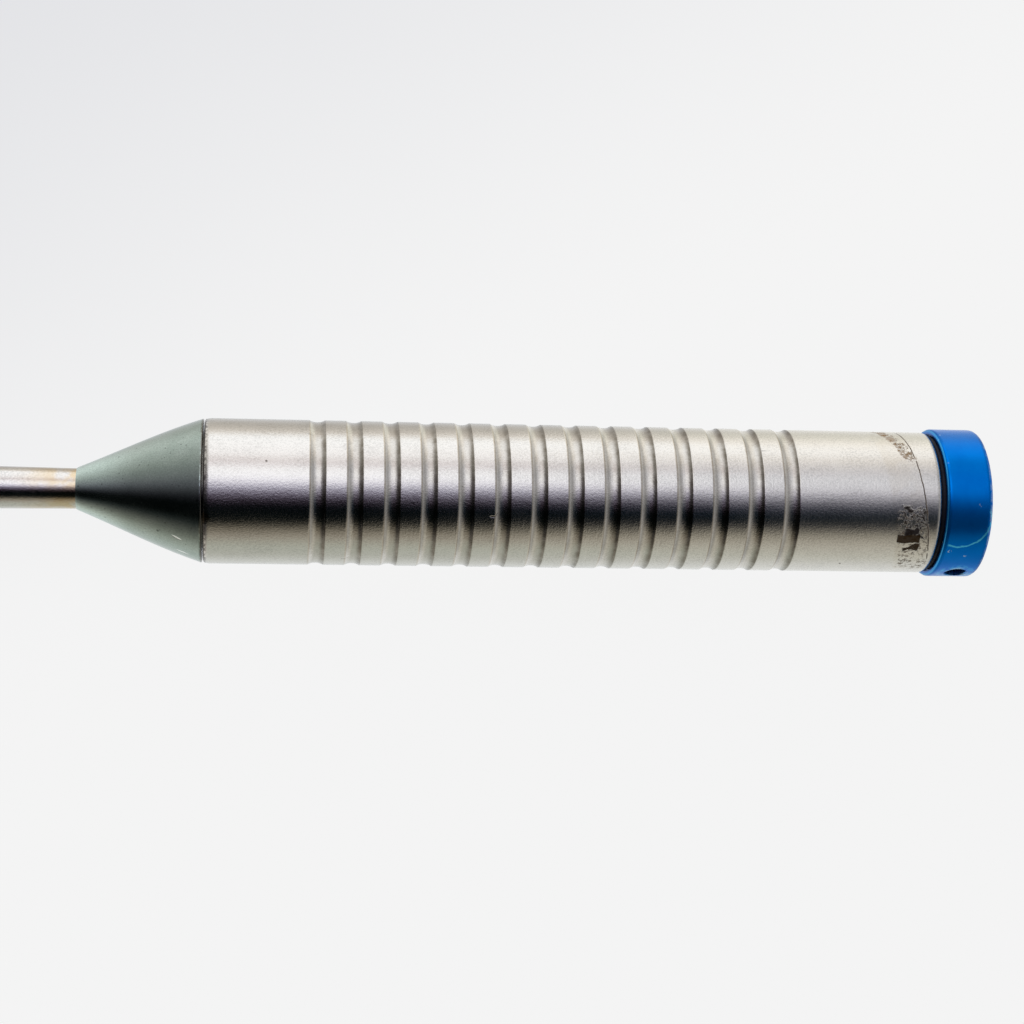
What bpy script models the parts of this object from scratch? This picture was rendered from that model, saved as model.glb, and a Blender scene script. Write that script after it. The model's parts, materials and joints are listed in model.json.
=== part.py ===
"""Hand-turned contra-angle torque driver, in metres, +Z up.

The handle's axis is the X axis, with +X towards the blue torque controller. The origin is the centre of the
controller cap's flat rear face. The driver lies on its side: the cap's rim and the edge of the head's back
cap touch the plane z = -cap_radius.

Chain of parts, from the hand to the tool: grip sleeve, drive ring, controller barrel, ball clutch, drive hub,
drive shaft, elbow gears, front shaft, head pinion, chuck gear, chuck.
"""

import math

import bmesh
import bpy
from mathutils import Matrix, Vector

MM = 0.001

# Clearances
FIXED_GAP = 0.04 * MM      # between pieces pressed or screwed together
RUNNING_GAP = 0.06 * MM    # between a bore and what turns or slides in it
FACE_GAP = 0.1 * MM        # between end faces that meet

# Grip sleeve
SLEEVE_RADIUS = 8.0 * MM
SLEEVE_LENGTH = 81.2 * MM
SLEEVE_WALL = 1.4 * MM
SLEEVE_EDGE = 0.1 * MM     # radius lost over the bevel at each end
SLEEVE_BEVEL = 0.5 * MM    # length of that bevel
GROOVE_COUNT = 14
GROOVE_PITCH = 4.0 * MM
GROOVE_WIDTH = 1.5 * MM
GROOVE_DEPTH = 0.22 * MM
GROOVE_SIDE = 0.3 * MM     # length of each sloping side
GROOVE_START = 12.2 * MM   # front edge of the sleeve to the first groove's middle

# Torque controller
CAP_STANDS_PROUD = 0.4 * MM   # of the sleeve, all round
CAP_LENGTH = 4.9 * MM
CAP_GAP = 0.9 * MM         # gap to the sleeve, filled by the seal
CAP_REAR_CHAMFER = 0.35 * MM
CAP_FRONT_CHAMFER = 0.2 * MM
CROSS_HOLE_RADIUS = 1.2 * MM
CROSS_HOLE_ROLL = math.radians(161)   # of the hole, about +X, from +Y
BOSS_LENGTH = 4.6 * MM
SEAL_INSET = 0.3 * MM      # below the sleeve's surface
SEAL_CHAMFER = 0.2 * MM
BARREL_LENGTH = 32.0 * MM
BARREL_WALL = 1.2 * MM
BARREL_END_WALL = 3.5 * MM
HUB_RADIUS = 2.6 * MM
HUB_NOSE = 4.0 * MM        # how far the hub stands out of the barrel
HUB_FLANGE_LENGTH = 1.8 * MM
HUB_STEM_RADIUS = 1.8 * MM
SQUARE_WIDTH = 1.6 * MM    # across the flats of the shaft's square end
SQUARE_DEPTH = 5.0 * MM
BALL_RADIUS = 0.8 * MM
BALL_COUNT = 3
BALL_CIRCLE = 3.6 * MM
CLUTCH_OPENING = 0.55 * MM   # between hub flange and pressure plate
PLATE_LENGTH = 2.3 * MM
SEAT_LENGTH = 0.6 * MM
CLUTCH_SPRING_LENGTH = 13.9 * MM
CLUTCH_SPRING_RADIUS = 4.0 * MM
CLUTCH_WIRE_RADIUS = 0.45 * MM
CLUTCH_SPRING_TURNS = 5.5
NUT_LENGTH = 3.0 * MM
NUT_SLOT_WIDTH = 1.0 * MM
NUT_SLOT_DEPTH = 0.8 * MM

# Drive ring in the sleeve
RING_LENGTH = 3.0 * MM
RING_BORE_RADIUS = 3.2 * MM
DOG_WIDTH = 1.8 * MM
DOG_HEIGHT = 1.4 * MM
DOG_REACH = 2.0 * MM       # how far a dog stands into the barrel's notch
RING_TO_BARREL = 0.6 * MM

# Fixed core inside the sleeve
CORE_RADIUS = 4.95 * MM
CORE_BORE_RADIUS = 3.0 * MM
CORE_TO_RING = 4.0 * MM
CORE_SINK = 5.0 * MM       # length of core held inside the cone
BUSH_LENGTH = 8.0 * MM
WASHER_LENGTH = 0.5 * MM
CIRCLIP_LENGTH = 0.5 * MM
CIRCLIP_DEPTH = 0.5 * MM
CIRCLIP_RADIUS = 5.7 * MM
CIRCLIP_OPENING = 3.0 * MM
CIRCLIP_TO_END = 1.5 * MM

# Cone and neck
CONE_GAP = 0.15 * MM
CONE_LENGTH = 13.65 * MM
CONE_INSET = 0.07 * MM     # of its base, below the sleeve's surface
CONE_NOSE_RADIUS = 2.3 * MM
CONE_SWELL = 0.19 * MM     # past a straight taper, most at two thirds of the length
CONE_BOSS_LENGTH = 0.95 * MM
CONE_NOSE_LAND = 0.02 * MM   # flat ring left round the neck at the nose
NECK_LENGTH = 21.6 * MM
NECK_REAR_RADIUS = 2.21 * MM
NECK_FRONT_RADIUS = 2.46 * MM
NECK_BORE_RADIUS = 1.6 * MM
NECK_SINK = 7.8 * MM       # length of neck held inside the cone
UNION_LENGTH = 2.8 * MM
UNION_WALL = 0.65 * MM
UNION_CHAMFER = 0.15 * MM

# Elbow
BEND = math.radians(20)
ELBOW_RADIUS = 2.9 * MM
ELBOW_WALL = 0.6 * MM
ELBOW_REACH = 4.6 * MM     # from the bend's corner to each end
ELBOW_ARC = 9.0 * MM       # radius of the bend
SPIGOT_LENGTH = 2.0 * MM
ELBOW_TEETH = 12
ELBOW_GEAR_RADIUS = 1.9 * MM
ELBOW_GEAR_FACE = 0.6 * MM
ELBOW_ADDENDUM = 0.24 * MM
ELBOW_DEDENDUM = 0.32 * MM
ELBOW_HUB_RADIUS = 1.6 * MM
ELBOW_GEAR_BACK = 2.2 * MM   # from the bend's corner to the hub's back

# Shafts
SHAFT_RADIUS = 0.9 * MM
SHAFT_PIN_RADIUS = 0.6 * MM    # where the gears sit
SHAFT_JOURNAL_RADIUS = 1.1 * MM
SHAFT_PIN_START = 0.6 * MM
SHAFT_BUSH_LENGTH = 2.2 * MM
REAR_SHAFT_BUSH_LENGTH = 3.9 * MM
FRONT_SHAFT_LENGTH = 16.0 * MM   # between the bend's corner and the chuck's axis
PINION_PIN_LENGTH = 1.0 * MM     # how far the front shaft goes into its pinion

# Head
HEAD_RADIUS = 4.2 * MM
HEAD_WALL = 1.0 * MM
HEAD_BACK = 4.5 * MM       # from the shaft's axis to the housing's back edge
HEAD_FRONT = 6.2 * MM      # from the shaft's axis to the mouth
MOUTH_RADIUS = 3.2 * MM
MOUTH_CHAMFER = 0.2 * MM
HEAD_TAPER_START = 2.6 * MM
LOWER_BUSH_WALL = 0.66 * MM
NECK_ROOT_RADIUS = 3.5 * MM
NECK_ROOT_START = 1.5 * MM   # from the chuck's axis
NECK_ROOT_LENGTH = 4.6 * MM
HEAD_NECK_STEP = 0.15 * MM   # from the elbow's surface down to the head's neck
BACK_CAP_LENGTH = 2.25 * MM
BACK_CAP_CHAMFER = 0.5 * MM
BACK_CAP_LIP = 0.6 * MM
CHUCK_TEETH = 12
CHUCK_CONE = 3.4 * MM      # outer cone distance of the bevel pair
CHUCK_GEAR_FACE = 0.65 * MM
CHUCK_ADDENDUM = 0.32 * MM
CHUCK_DEDENDUM = 0.4 * MM
CHUCK_GEAR_BACK = 3.1 * MM
CHUCK_GEAR_HUB = 2.2 * MM
CHUCK_RADIUS = 1.55 * MM
CHUCK_BORE_RADIUS = 1.2 * MM
CHUCK_STANDS_OUT = 0.15 * MM
UPPER_BUSH_START = 2.95 * MM
UPPER_BUSH_LENGTH = 1.15 * MM
LATCH_LENGTH = 0.3 * MM
LATCH_SLOT = 0.8 * MM
BUTTON_RADIUS = 2.25 * MM
BUTTON_CHAMFER = 0.2 * MM
BUTTON_FLANGE_RADIUS = 2.85 * MM
BUTTON_FLANGE_LENGTH = 0.35 * MM
BUTTON_STANDS_OUT = 0.5 * MM
BUTTON_TRAVEL = 0.5 * MM
BUTTON_PLUNGER_RADIUS = 1.1 * MM
BUTTON_SPRING_RADIUS = 2.3 * MM
BUTTON_WIRE_RADIUS = 0.15 * MM
BUTTON_SPRING_TURNS = 3

BACKLASH = 0.07 * MM       # taken off each tooth's thickness
PRESSURE_ANGLE = math.radians(20)

# Fineness of the round shapes
SEGMENTS_LARGE = 28
SEGMENTS_SMALL = 20
SEGMENTS_CAP = 36
BALL_RINGS = 8
CONE_STEPS = 8
BEND_POINTS = 5
BEND_SIDES = 10            # bevel resolution of the bent tube
CLUTCH_COIL_POINTS = 12    # for each turn of the spring
BUTTON_COIL_POINTS = 10
NOSE_PART = 0.3            # length of the cone's blunt first step, against the steps after it

# Stations along the handle's axis
cap_front = -CAP_LENGTH
sleeve_rear = cap_front - CAP_GAP
sleeve_front = sleeve_rear - SLEEVE_LENGTH
barrel_rear = sleeve_rear - 2 * FACE_GAP
barrel_front = barrel_rear - BARREL_LENGTH
flange_front = barrel_front + BARREL_END_WALL + 2 * FACE_GAP
flange_rear = flange_front + HUB_FLANGE_LENGTH
plate_front = flange_rear + CLUTCH_OPENING
seat_front = plate_front + PLATE_LENGTH + FACE_GAP
clutch_spring_front = seat_front + SEAT_LENGTH + FACE_GAP
nut_front = clutch_spring_front + CLUTCH_SPRING_LENGTH + FACE_GAP
hub_front = barrel_front - HUB_NOSE
ring_rear = barrel_front - RING_TO_BARREL
ring_front = ring_rear - RING_LENGTH
core_rear = ring_front - CORE_TO_RING
circlip_rear = core_rear - CIRCLIP_TO_END
cone_base = sleeve_front - CONE_GAP
cone_nose = cone_base - CONE_LENGTH
core_front = cone_base - CORE_SINK
boss_rear = cone_base + CONE_BOSS_LENGTH
washer_front = boss_rear + FACE_GAP
front_bush_front = washer_front + WASHER_LENGTH + FACE_GAP
rear_bush_rear = circlip_rear - CIRCLIP_LENGTH - 2 * FACE_GAP
elbow_x = cone_nose - NECK_LENGTH - ELBOW_REACH

# Radii that follow from the ones above
cap_radius = SLEEVE_RADIUS + CAP_STANDS_PROUD
seal_radius = SLEEVE_RADIUS - SEAL_INSET
cone_base_radius = SLEEVE_RADIUS - CONE_INSET
sleeve_bore = SLEEVE_RADIUS - SLEEVE_WALL
barrel_radius = sleeve_bore - FACE_GAP
barrel_bore = barrel_radius - BARREL_WALL
core_socket = CORE_RADIUS + FIXED_GAP
spigot_radius = ELBOW_RADIUS - ELBOW_WALL - FIXED_GAP
shaft_bush_radius = NECK_BORE_RADIUS - FIXED_GAP
head_cavity = HEAD_RADIUS - HEAD_WALL
lower_bush_bore = CHUCK_RADIUS + RUNNING_GAP
lower_bush_radius = lower_bush_bore + LOWER_BUSH_WALL
mouth_bore = lower_bush_radius + FIXED_GAP

# Stations along the head's axis, from the shaft's axis towards the back
upper_bush_end = UPPER_BUSH_START + UPPER_BUSH_LENGTH
chuck_end = upper_bush_end + FACE_GAP
latch_start = chuck_end + FACE_GAP
latch_end = latch_start + LATCH_LENGTH
back_cap_start = HEAD_BACK + FACE_GAP
back_cap_end = back_cap_start + BACK_CAP_LENGTH
flange_top = back_cap_end - BACK_CAP_LIP - FACE_GAP
flange_bottom = flange_top - BUTTON_FLANGE_LENGTH
button_top = back_cap_end + BUTTON_STANDS_OUT
plunger_end = latch_end + BUTTON_TRAVEL + FACE_GAP


def head_roll():
    """Angle below level at which the head leans back, so that its back cap's edge meets the plane the cap's
    rim stands on."""
    edge_radius = HEAD_RADIUS
    edge_offset = (FRONT_SHAFT_LENGTH * math.sin(BEND)
                   + (back_cap_end - BACK_CAP_CHAMFER) * math.cos(BEND))
    low, high = 0.0, math.pi / 2
    for _ in range(60):
        roll = (low + high) / 2
        round_part = edge_radius * math.hypot(math.sin(BEND) * math.sin(roll), math.cos(roll))
        if edge_offset * math.sin(roll) + round_part < cap_radius:
            low = roll
        else:
            high = roll
    return low


roll = head_roll()
HANDLE = Vector((1, 0, 0))
BACK = Vector((0, math.cos(roll), -math.sin(roll)))
FORWARD = -HANDLE * math.cos(BEND) + BACK * math.sin(BEND)
WORK = -HANDLE * math.sin(BEND) - BACK * math.cos(BEND)
CORNER = Vector((elbow_x, 0, 0))
CHUCK_CENTRE = CORNER + FORWARD * FRONT_SHAFT_LENGTH


# ---------------------------------------------------------------- scene, materials and helpers

def clear_scene():
    for item in list(bpy.data.objects):
        bpy.data.objects.remove(item, do_unlink=True)


def new_collection(name):
    collection = bpy.data.collections.new(name)
    bpy.context.scene.collection.children.link(collection)
    return collection


def new_material(name, colour, roughness, metallic):
    material = bpy.data.materials.new(name)
    material.use_nodes = True
    shader = material.node_tree.nodes["Principled BSDF"]
    shader.inputs["Base Color"].default_value = (*colour, 1)
    shader.inputs["Roughness"].default_value = roughness
    shader.inputs["Metallic"].default_value = metallic
    return material


clear_scene()
PARTS = new_collection("contra_angle_torque_driver")
CUTTERS = new_collection("cutters")

STEEL = new_material("satin_steel", (0.66, 0.62, 0.58), 0.3, 1)
NECK_STEEL = new_material("polished_steel", (0.7, 0.68, 0.64), 0.18, 1)
GREY_GREEN = new_material("grey_green_anodised", (0.2, 0.27, 0.25), 0.4, 0.7)
BLUE = new_material("blue_anodised", (0.0, 0.16, 0.6), 0.35, 0.5)
BLACK = new_material("black_rubber", (0.02, 0.02, 0.02), 0.6, 0)
BRONZE = new_material("bronze", (0.55, 0.38, 0.2), 0.35, 1)
SPRING_STEEL = new_material("spring_steel", (0.45, 0.45, 0.46), 0.3, 1)
GEAR_STEEL = new_material("gear_steel", (0.5, 0.5, 0.5), 0.35, 1)


def new_axis(name, origin, along, across):
    """An empty at origin whose Z runs along an axis and whose X points across it."""
    empty = bpy.data.objects.new(name, None)
    PARTS.objects.link(empty)
    x = across.normalized()
    z = along.normalized()
    y = z.cross(x)
    empty.matrix_world = Matrix.Translation(origin) @ Matrix((x, y, z)).transposed().to_4x4()
    return empty


handle_axis = new_axis("handle_axis", Vector((0, 0, 0)), HANDLE, BACK)
controller_axis = new_axis("controller_axis", Vector((0, 0, 0)), HANDLE,
                           Vector((0, math.cos(CROSS_HOLE_ROLL), math.sin(CROSS_HOLE_ROLL))))
rear_shaft_axis = new_axis("rear_shaft_axis", CORNER, HANDLE, BACK)
front_shaft_axis = new_axis("front_shaft_axis", CORNER, FORWARD,
                            HANDLE * math.sin(BEND) + BACK * math.cos(BEND))
pinion_axis = new_axis("pinion_axis", CHUCK_CENTRE, -FORWARD, WORK)
work_axis = new_axis("work_axis", CHUCK_CENTRE, WORK, -FORWARD)
back_axis = new_axis("back_axis", CHUCK_CENTRE, -WORK, -FORWARD)


def add_object(name, mesh, axis, material=None, collection=None):
    item = bpy.data.objects.new(name, mesh)
    (collection or PARTS).objects.link(item)
    item.parent = axis
    if material:
        mesh.materials.append(material)
    return item


def add_cutter(name, mesh, axis):
    item = add_object(name, mesh, axis, collection=CUTTERS)
    item.hide_render = True
    item.display_type = "WIRE"
    return item


def spin_profile(item, segments):
    screw = item.modifiers.new("spin", "SCREW")
    screw.axis = "Z"
    screw.steps = segments
    screw.render_steps = segments
    screw.use_merge_vertices = True
    screw.merge_threshold = 1e-7
    screw.use_smooth_shade = True


def profile_mesh(name, profile, closed):
    """The outline (station, radius) as a mesh at +X, running down its outer side."""
    points = list(profile)
    area = sum(a[1] * b[0] - b[1] * a[0] for a, b in zip(points, points[1:] + points[:1]))
    if area > 0:
        points.reverse()
    mesh = bpy.data.meshes.new(name)
    edges = [(i, i + 1) for i in range(len(points) - 1)]
    if closed:
        edges.append((len(points) - 1, 0))
    mesh.from_pydata([(radius, 0, station) for station, radius in points], edges, [])
    return mesh


def turned(name, axis, profile, material, segments=SEGMENTS_LARGE):
    """A turned piece. A profile that starts and ends on the axis is solid; any other is a ring."""
    solid = profile[0][1] == 0 and profile[-1][1] == 0
    item = add_object(name, profile_mesh(name, profile, not solid), axis, material)
    spin_profile(item, segments)
    return item


def turned_cutter(name, axis, profile, segments=SEGMENTS_LARGE):
    item = add_cutter(name, profile_mesh(name, profile, False), axis)
    spin_profile(item, segments)
    return item


def ring(start, end, inner, outer, chamfer=0.0):
    """Outline of a plain ring, with its outer edges taken off by chamfer."""
    if not chamfer:
        return [(start, inner), (start, outer), (end, outer), (end, inner)]
    return [(start, inner), (start, outer - chamfer), (start + chamfer, outer), (end - chamfer, outer),
            (end, outer - chamfer), (end, inner)]


def rod(*steps):
    """Outline of a solid turned rod through (station, radius) steps."""
    return [(steps[0][0], 0), *steps, (steps[-1][0], 0)]


def box_mesh(name, low, high):
    mesh = bpy.data.meshes.new(name)
    shape = bmesh.new()
    bmesh.ops.create_cube(shape, size=1)
    size = Vector(high) - Vector(low)
    bmesh.ops.scale(shape, vec=size, verts=shape.verts)
    bmesh.ops.translate(shape, vec=(Vector(high) + Vector(low)) / 2, verts=shape.verts)
    shape.to_mesh(mesh)
    shape.free()
    return mesh


def sphere_mesh(name, centre, radius, rings):
    mesh = bpy.data.meshes.new(name)
    shape = bmesh.new()
    bmesh.ops.create_uvsphere(shape, u_segments=2 * rings, v_segments=rings, radius=radius)
    bmesh.ops.translate(shape, vec=centre, verts=shape.verts)
    shape.to_mesh(mesh)
    shape.free()
    mesh.shade_smooth()
    return mesh


def boolean(item, other, operation):
    modifier = item.modifiers.new(operation.lower(), "BOOLEAN")
    modifier.operation = operation
    modifier.solver = "EXACT"
    modifier.object = other


def curve_mesh(name, points, radius, caps, sides=2):
    """Mesh of a round wire or tube along points."""
    curve = bpy.data.curves.new(name, "CURVE")
    curve.dimensions = "3D"
    curve.bevel_depth = radius
    curve.bevel_resolution = sides
    curve.use_fill_caps = caps
    spline = curve.splines.new("POLY")
    spline.points.add(len(points) - 1)
    for place, point in zip(spline.points, points):
        place.co = (*point, 1)
    item = bpy.data.objects.new(name + "_curve", curve)
    PARTS.objects.link(item)
    evaluated = item.evaluated_get(bpy.context.evaluated_depsgraph_get())
    mesh = bpy.data.meshes.new_from_object(evaluated)
    mesh.name = name
    shape = bmesh.new()
    shape.from_mesh(mesh)
    bmesh.ops.remove_doubles(shape, verts=shape.verts, dist=1e-7)
    bmesh.ops.recalc_face_normals(shape, faces=shape.faces)
    shape.to_mesh(mesh)
    shape.free()
    mesh.shade_smooth()
    bpy.data.objects.remove(item, do_unlink=True)
    return mesh


def coil_points(start, end, radius, turns, per_turn):
    count = round(turns * per_turn)
    points = []
    for i in range(count + 1):
        angle = 2 * math.pi * turns * i / count
        points.append((radius * math.cos(angle), radius * math.sin(angle), start + (end - start) * i / count))
    return points


# ---------------------------------------------------------------- bevel gears

def involute(angle):
    return math.tan(angle) - angle


def tooth_outline(teeth, pitch_angle, cone, addendum, dedendum):
    """Half of one tooth on the back cone: (height over the pitch line, half the tooth's width as an angle
    about the gear's axis), from root to tip, by Tredgold's virtual gear."""
    virtual = cone * math.tan(pitch_angle)
    base = virtual * math.cos(PRESSURE_ANGLE)
    half_at_pitch = (math.pi * cone * math.sin(pitch_angle) / teeth - BACKLASH) / (2 * virtual)
    points = []
    for height in (-dedendum, 0, addendum):
        radius = virtual + height
        slope = math.acos(min(1, base / radius))
        half = half_at_pitch + involute(PRESSURE_ANGLE) - involute(slope)
        points.append((height, half / math.cos(pitch_angle)))
    return points


def bevel_gear(name, axis, material, teeth, pitch_angle, cone, face, addendum, dedendum, bore, hub, back,
               gap_first):
    """A straight bevel gear whose cones meet at the axis's origin. Its toothed outer end, shrunk towards that
    point, gives the inner end, and plain circles carry on to the hub and the bore."""
    virtual = cone * math.tan(pitch_angle)
    half_tooth = tooth_outline(teeth, pitch_angle, cone, addendum, dedendum)
    sides = [(height, -half) for height, half in half_tooth] + [(h, w) for h, w in reversed(half_tooth)]
    outer = []
    for tooth in range(teeth):
        middle = 2 * math.pi * (tooth + (0.5 if gap_first else 0)) / teeth
        for height, turn in sides:
            slant = virtual + height
            radius = slant * math.cos(pitch_angle)
            station = cone / math.cos(pitch_angle) - slant * math.sin(pitch_angle)
            outer.append((radius, middle + turn, station))
    shrink = (cone - face) / cone
    root_station = max(point[2] for point in outer)
    inner = [(radius * shrink, turn, station * shrink) for radius, turn, station in outer]
    circles = (
        [(bore, turn, root_station * shrink) for _, turn, _ in outer],
        inner,
        outer,
        [(hub, turn, back) for _, turn, _ in outer],
        [(bore, turn, back) for _, turn, _ in outer],
    )
    shape = bmesh.new()
    rings = []
    for circle in circles:
        rings.append([shape.verts.new((r * math.cos(t), r * math.sin(t), z)) for r, t, z in circle])
    count = len(outer)
    for this, following in zip(rings, rings[1:] + rings[:1]):
        for i in range(count):
            j = (i + 1) % count
            shape.faces.new((this[i], this[j], following[j], following[i]))
    bmesh.ops.recalc_face_normals(shape, faces=shape.faces)
    mesh = bpy.data.meshes.new(name)
    shape.to_mesh(mesh)
    shape.free()
    return add_object(name, mesh, axis, material)


# ---------------------------------------------------------------- grip sleeve and what turns with it

def make_grip_sleeve():
    outer = [(sleeve_front, SLEEVE_RADIUS - SLEEVE_EDGE), (sleeve_front + SLEEVE_BEVEL, SLEEVE_RADIUS)]
    for number in range(GROOVE_COUNT):
        middle = sleeve_front + GROOVE_START + number * GROOVE_PITCH
        half = GROOVE_WIDTH / 2
        floor = SLEEVE_RADIUS - GROOVE_DEPTH
        outer += [(middle - half, SLEEVE_RADIUS), (middle - half + GROOVE_SIDE, floor),
                  (middle + half - GROOVE_SIDE, floor), (middle + half, SLEEVE_RADIUS)]
    outer += [(sleeve_rear - SLEEVE_BEVEL, SLEEVE_RADIUS), (sleeve_rear, SLEEVE_RADIUS - SLEEVE_EDGE)]
    inner = [(sleeve_rear, sleeve_bore), (sleeve_front, sleeve_bore)]
    return turned("grip_sleeve", handle_axis, outer + inner, STEEL)


def make_sleeve_bushes():
    outer = sleeve_bore - FIXED_GAP
    inner = CORE_RADIUS + RUNNING_GAP
    turned("front_sleeve_bush", handle_axis,
           ring(front_bush_front, front_bush_front + BUSH_LENGTH, inner, outer), BRONZE)
    turned("rear_sleeve_bush", handle_axis,
           ring(rear_bush_rear - BUSH_LENGTH, rear_bush_rear, inner, outer), BRONZE)


def dog_box(name, side, width, inner, outer, front, rear):
    low = (inner, -width / 2, front) if side > 0 else (-outer, -width / 2, front)
    high = (outer, width / 2, rear) if side > 0 else (-inner, width / 2, rear)
    return box_mesh(name, low, high)


def make_drive_ring():
    outer = sleeve_bore - FIXED_GAP
    profile = ring(ring_front, ring_rear, RING_BORE_RADIUS, outer)
    piece = turned("drive_ring", handle_axis, profile, GEAR_STEEL)
    dog_outer = barrel_radius - FACE_GAP
    for side, word in ((1, "a"), (-1, "b")):
        mesh = dog_box(f"dog_{word}", side, DOG_WIDTH, dog_outer - DOG_HEIGHT, dog_outer,
                       ring_rear - RING_LENGTH / 2, barrel_front + DOG_REACH)
        boolean(piece, add_cutter(f"dog_{word}", mesh, handle_axis), "UNION")


# ---------------------------------------------------------------- torque controller

def make_controller_cap():
    boss_radius = barrel_bore - FIXED_GAP
    outline = rod((cap_front - BOSS_LENGTH, boss_radius), (cap_front, boss_radius),
                  (cap_front, cap_radius - CAP_FRONT_CHAMFER), (cap_front + CAP_FRONT_CHAMFER, cap_radius),
                  (-CAP_REAR_CHAMFER, cap_radius), (0, cap_radius - CAP_REAR_CHAMFER))
    cap = turned("controller_cap", controller_axis, outline, BLUE, SEGMENTS_CAP)
    hole = add_cutter("cross_hole", bpy.data.meshes.new("cross_hole"), controller_axis)
    shape = bmesh.new()
    across = Matrix.Translation((0, 0, -CAP_LENGTH / 2)) @ Matrix.Rotation(math.pi / 2, 4, "Y")
    bmesh.ops.create_cone(shape, cap_ends=True, segments=SEGMENTS_SMALL, radius1=CROSS_HOLE_RADIUS,
                          radius2=CROSS_HOLE_RADIUS, depth=3 * cap_radius, matrix=across)
    shape.to_mesh(hole.data)
    shape.free()
    boolean(cap, hole, "DIFFERENCE")


def make_cap_seal():
    turned("cap_seal", controller_axis,
           ring(sleeve_rear + FACE_GAP, cap_front - FACE_GAP, barrel_bore + FACE_GAP, seal_radius,
                SEAL_CHAMFER), BLACK)


def make_barrel():
    hub_hole = HUB_RADIUS + 2 * RUNNING_GAP
    outline = [(barrel_front, hub_hole), (barrel_front, barrel_radius), (barrel_rear, barrel_radius),
               (barrel_rear, barrel_bore), (barrel_front + BARREL_END_WALL, barrel_bore),
               (barrel_front + BARREL_END_WALL, hub_hole)]
    barrel = turned("controller_barrel", handle_axis, outline, GEAR_STEEL)
    dog_inner = barrel_radius - FACE_GAP - DOG_HEIGHT
    for side, word in ((1, "a"), (-1, "b")):
        mesh = dog_box(f"notch_{word}", side, DOG_WIDTH + 2 * FACE_GAP, dog_inner - FACE_GAP, cap_radius,
                       barrel_front - FACE_GAP, barrel_front + DOG_REACH + 2 * FACE_GAP)
        boolean(barrel, add_cutter(f"notch_{word}", mesh, handle_axis), "DIFFERENCE")


def ball_places():
    middle = flange_rear + CLUTCH_OPENING / 2
    for number in range(BALL_COUNT):
        angle = 2 * math.pi * number / BALL_COUNT
        yield Vector((BALL_CIRCLE * math.cos(angle), BALL_CIRCLE * math.sin(angle), middle))


def cut_ball_pockets(item, word):
    for number, place in enumerate(ball_places(), 1):
        name = f"{word}_pocket_{number}"
        mesh = sphere_mesh(name, place, BALL_RADIUS + 2 * FIXED_GAP, BALL_RINGS)
        boolean(item, add_cutter(name, mesh, controller_axis), "DIFFERENCE")


def make_clutch():
    flange_radius = barrel_bore - 2 * FACE_GAP
    hub = turned("drive_hub", controller_axis,
                 rod((hub_front, HUB_RADIUS), (flange_front, HUB_RADIUS), (flange_front, flange_radius),
                     (flange_rear, flange_radius), (flange_rear, HUB_STEM_RADIUS),
                     (nut_front + NUT_LENGTH / 2, HUB_STEM_RADIUS)), GEAR_STEEL)
    half = SQUARE_WIDTH / 2 + FIXED_GAP
    socket = box_mesh("hub_socket", (-half, -half, hub_front - FACE_GAP),
                      (half, half, hub_front + SQUARE_DEPTH))
    boolean(hub, add_cutter("hub_socket", socket, handle_axis), "DIFFERENCE")
    cut_ball_pockets(hub, "hub")
    stem_hole = HUB_STEM_RADIUS + RUNNING_GAP
    plate = turned("pressure_plate", controller_axis,
                   ring(plate_front, plate_front + PLATE_LENGTH, stem_hole, flange_radius), GEAR_STEEL)
    cut_ball_pockets(plate, "plate")
    for number, place in enumerate(ball_places(), 1):
        mesh = sphere_mesh(f"clutch_ball_{number}", place, BALL_RADIUS, BALL_RINGS)
        add_object(f"clutch_ball_{number}", mesh, controller_axis, NECK_STEEL)
    turned("spring_seat", controller_axis,
           ring(seat_front, seat_front + SEAT_LENGTH, stem_hole, flange_radius), SPRING_STEEL)


def make_clutch_spring():
    points = coil_points(clutch_spring_front + CLUTCH_WIRE_RADIUS,
                         clutch_spring_front + CLUTCH_SPRING_LENGTH - CLUTCH_WIRE_RADIUS,
                         CLUTCH_SPRING_RADIUS, CLUTCH_SPRING_TURNS, CLUTCH_COIL_POINTS)
    add_object("clutch_spring", curve_mesh("clutch_spring", points, CLUTCH_WIRE_RADIUS, True),
               controller_axis, SPRING_STEEL)


def make_adjusting_nut():
    outer = barrel_bore - FIXED_GAP
    nut = turned("adjusting_nut", controller_axis,
                 ring(nut_front, nut_front + NUT_LENGTH, HUB_STEM_RADIUS + RUNNING_GAP, outer), BRONZE)
    half = NUT_SLOT_WIDTH / 2
    slot = box_mesh("nut_slot", (-2 * outer, -half, nut_front + NUT_LENGTH - NUT_SLOT_DEPTH),
                    (2 * outer, half, nut_front + NUT_LENGTH + FACE_GAP))
    boolean(nut, add_cutter("nut_slot", slot, controller_axis), "DIFFERENCE")


# ---------------------------------------------------------------- fixed core, cone and neck

def make_core_tube():
    groove_front = circlip_rear - CIRCLIP_LENGTH - FACE_GAP / 2
    groove_rear = circlip_rear + FACE_GAP / 2
    floor = CORE_RADIUS - CIRCLIP_DEPTH
    outline = [(core_front, CORE_BORE_RADIUS), (core_front, CORE_RADIUS), (groove_front, CORE_RADIUS),
               (groove_front, floor), (groove_rear, floor), (groove_rear, CORE_RADIUS),
               (core_rear, CORE_RADIUS), (core_rear, CORE_BORE_RADIUS)]
    turned("core_tube", handle_axis, outline, GEAR_STEEL)


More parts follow.
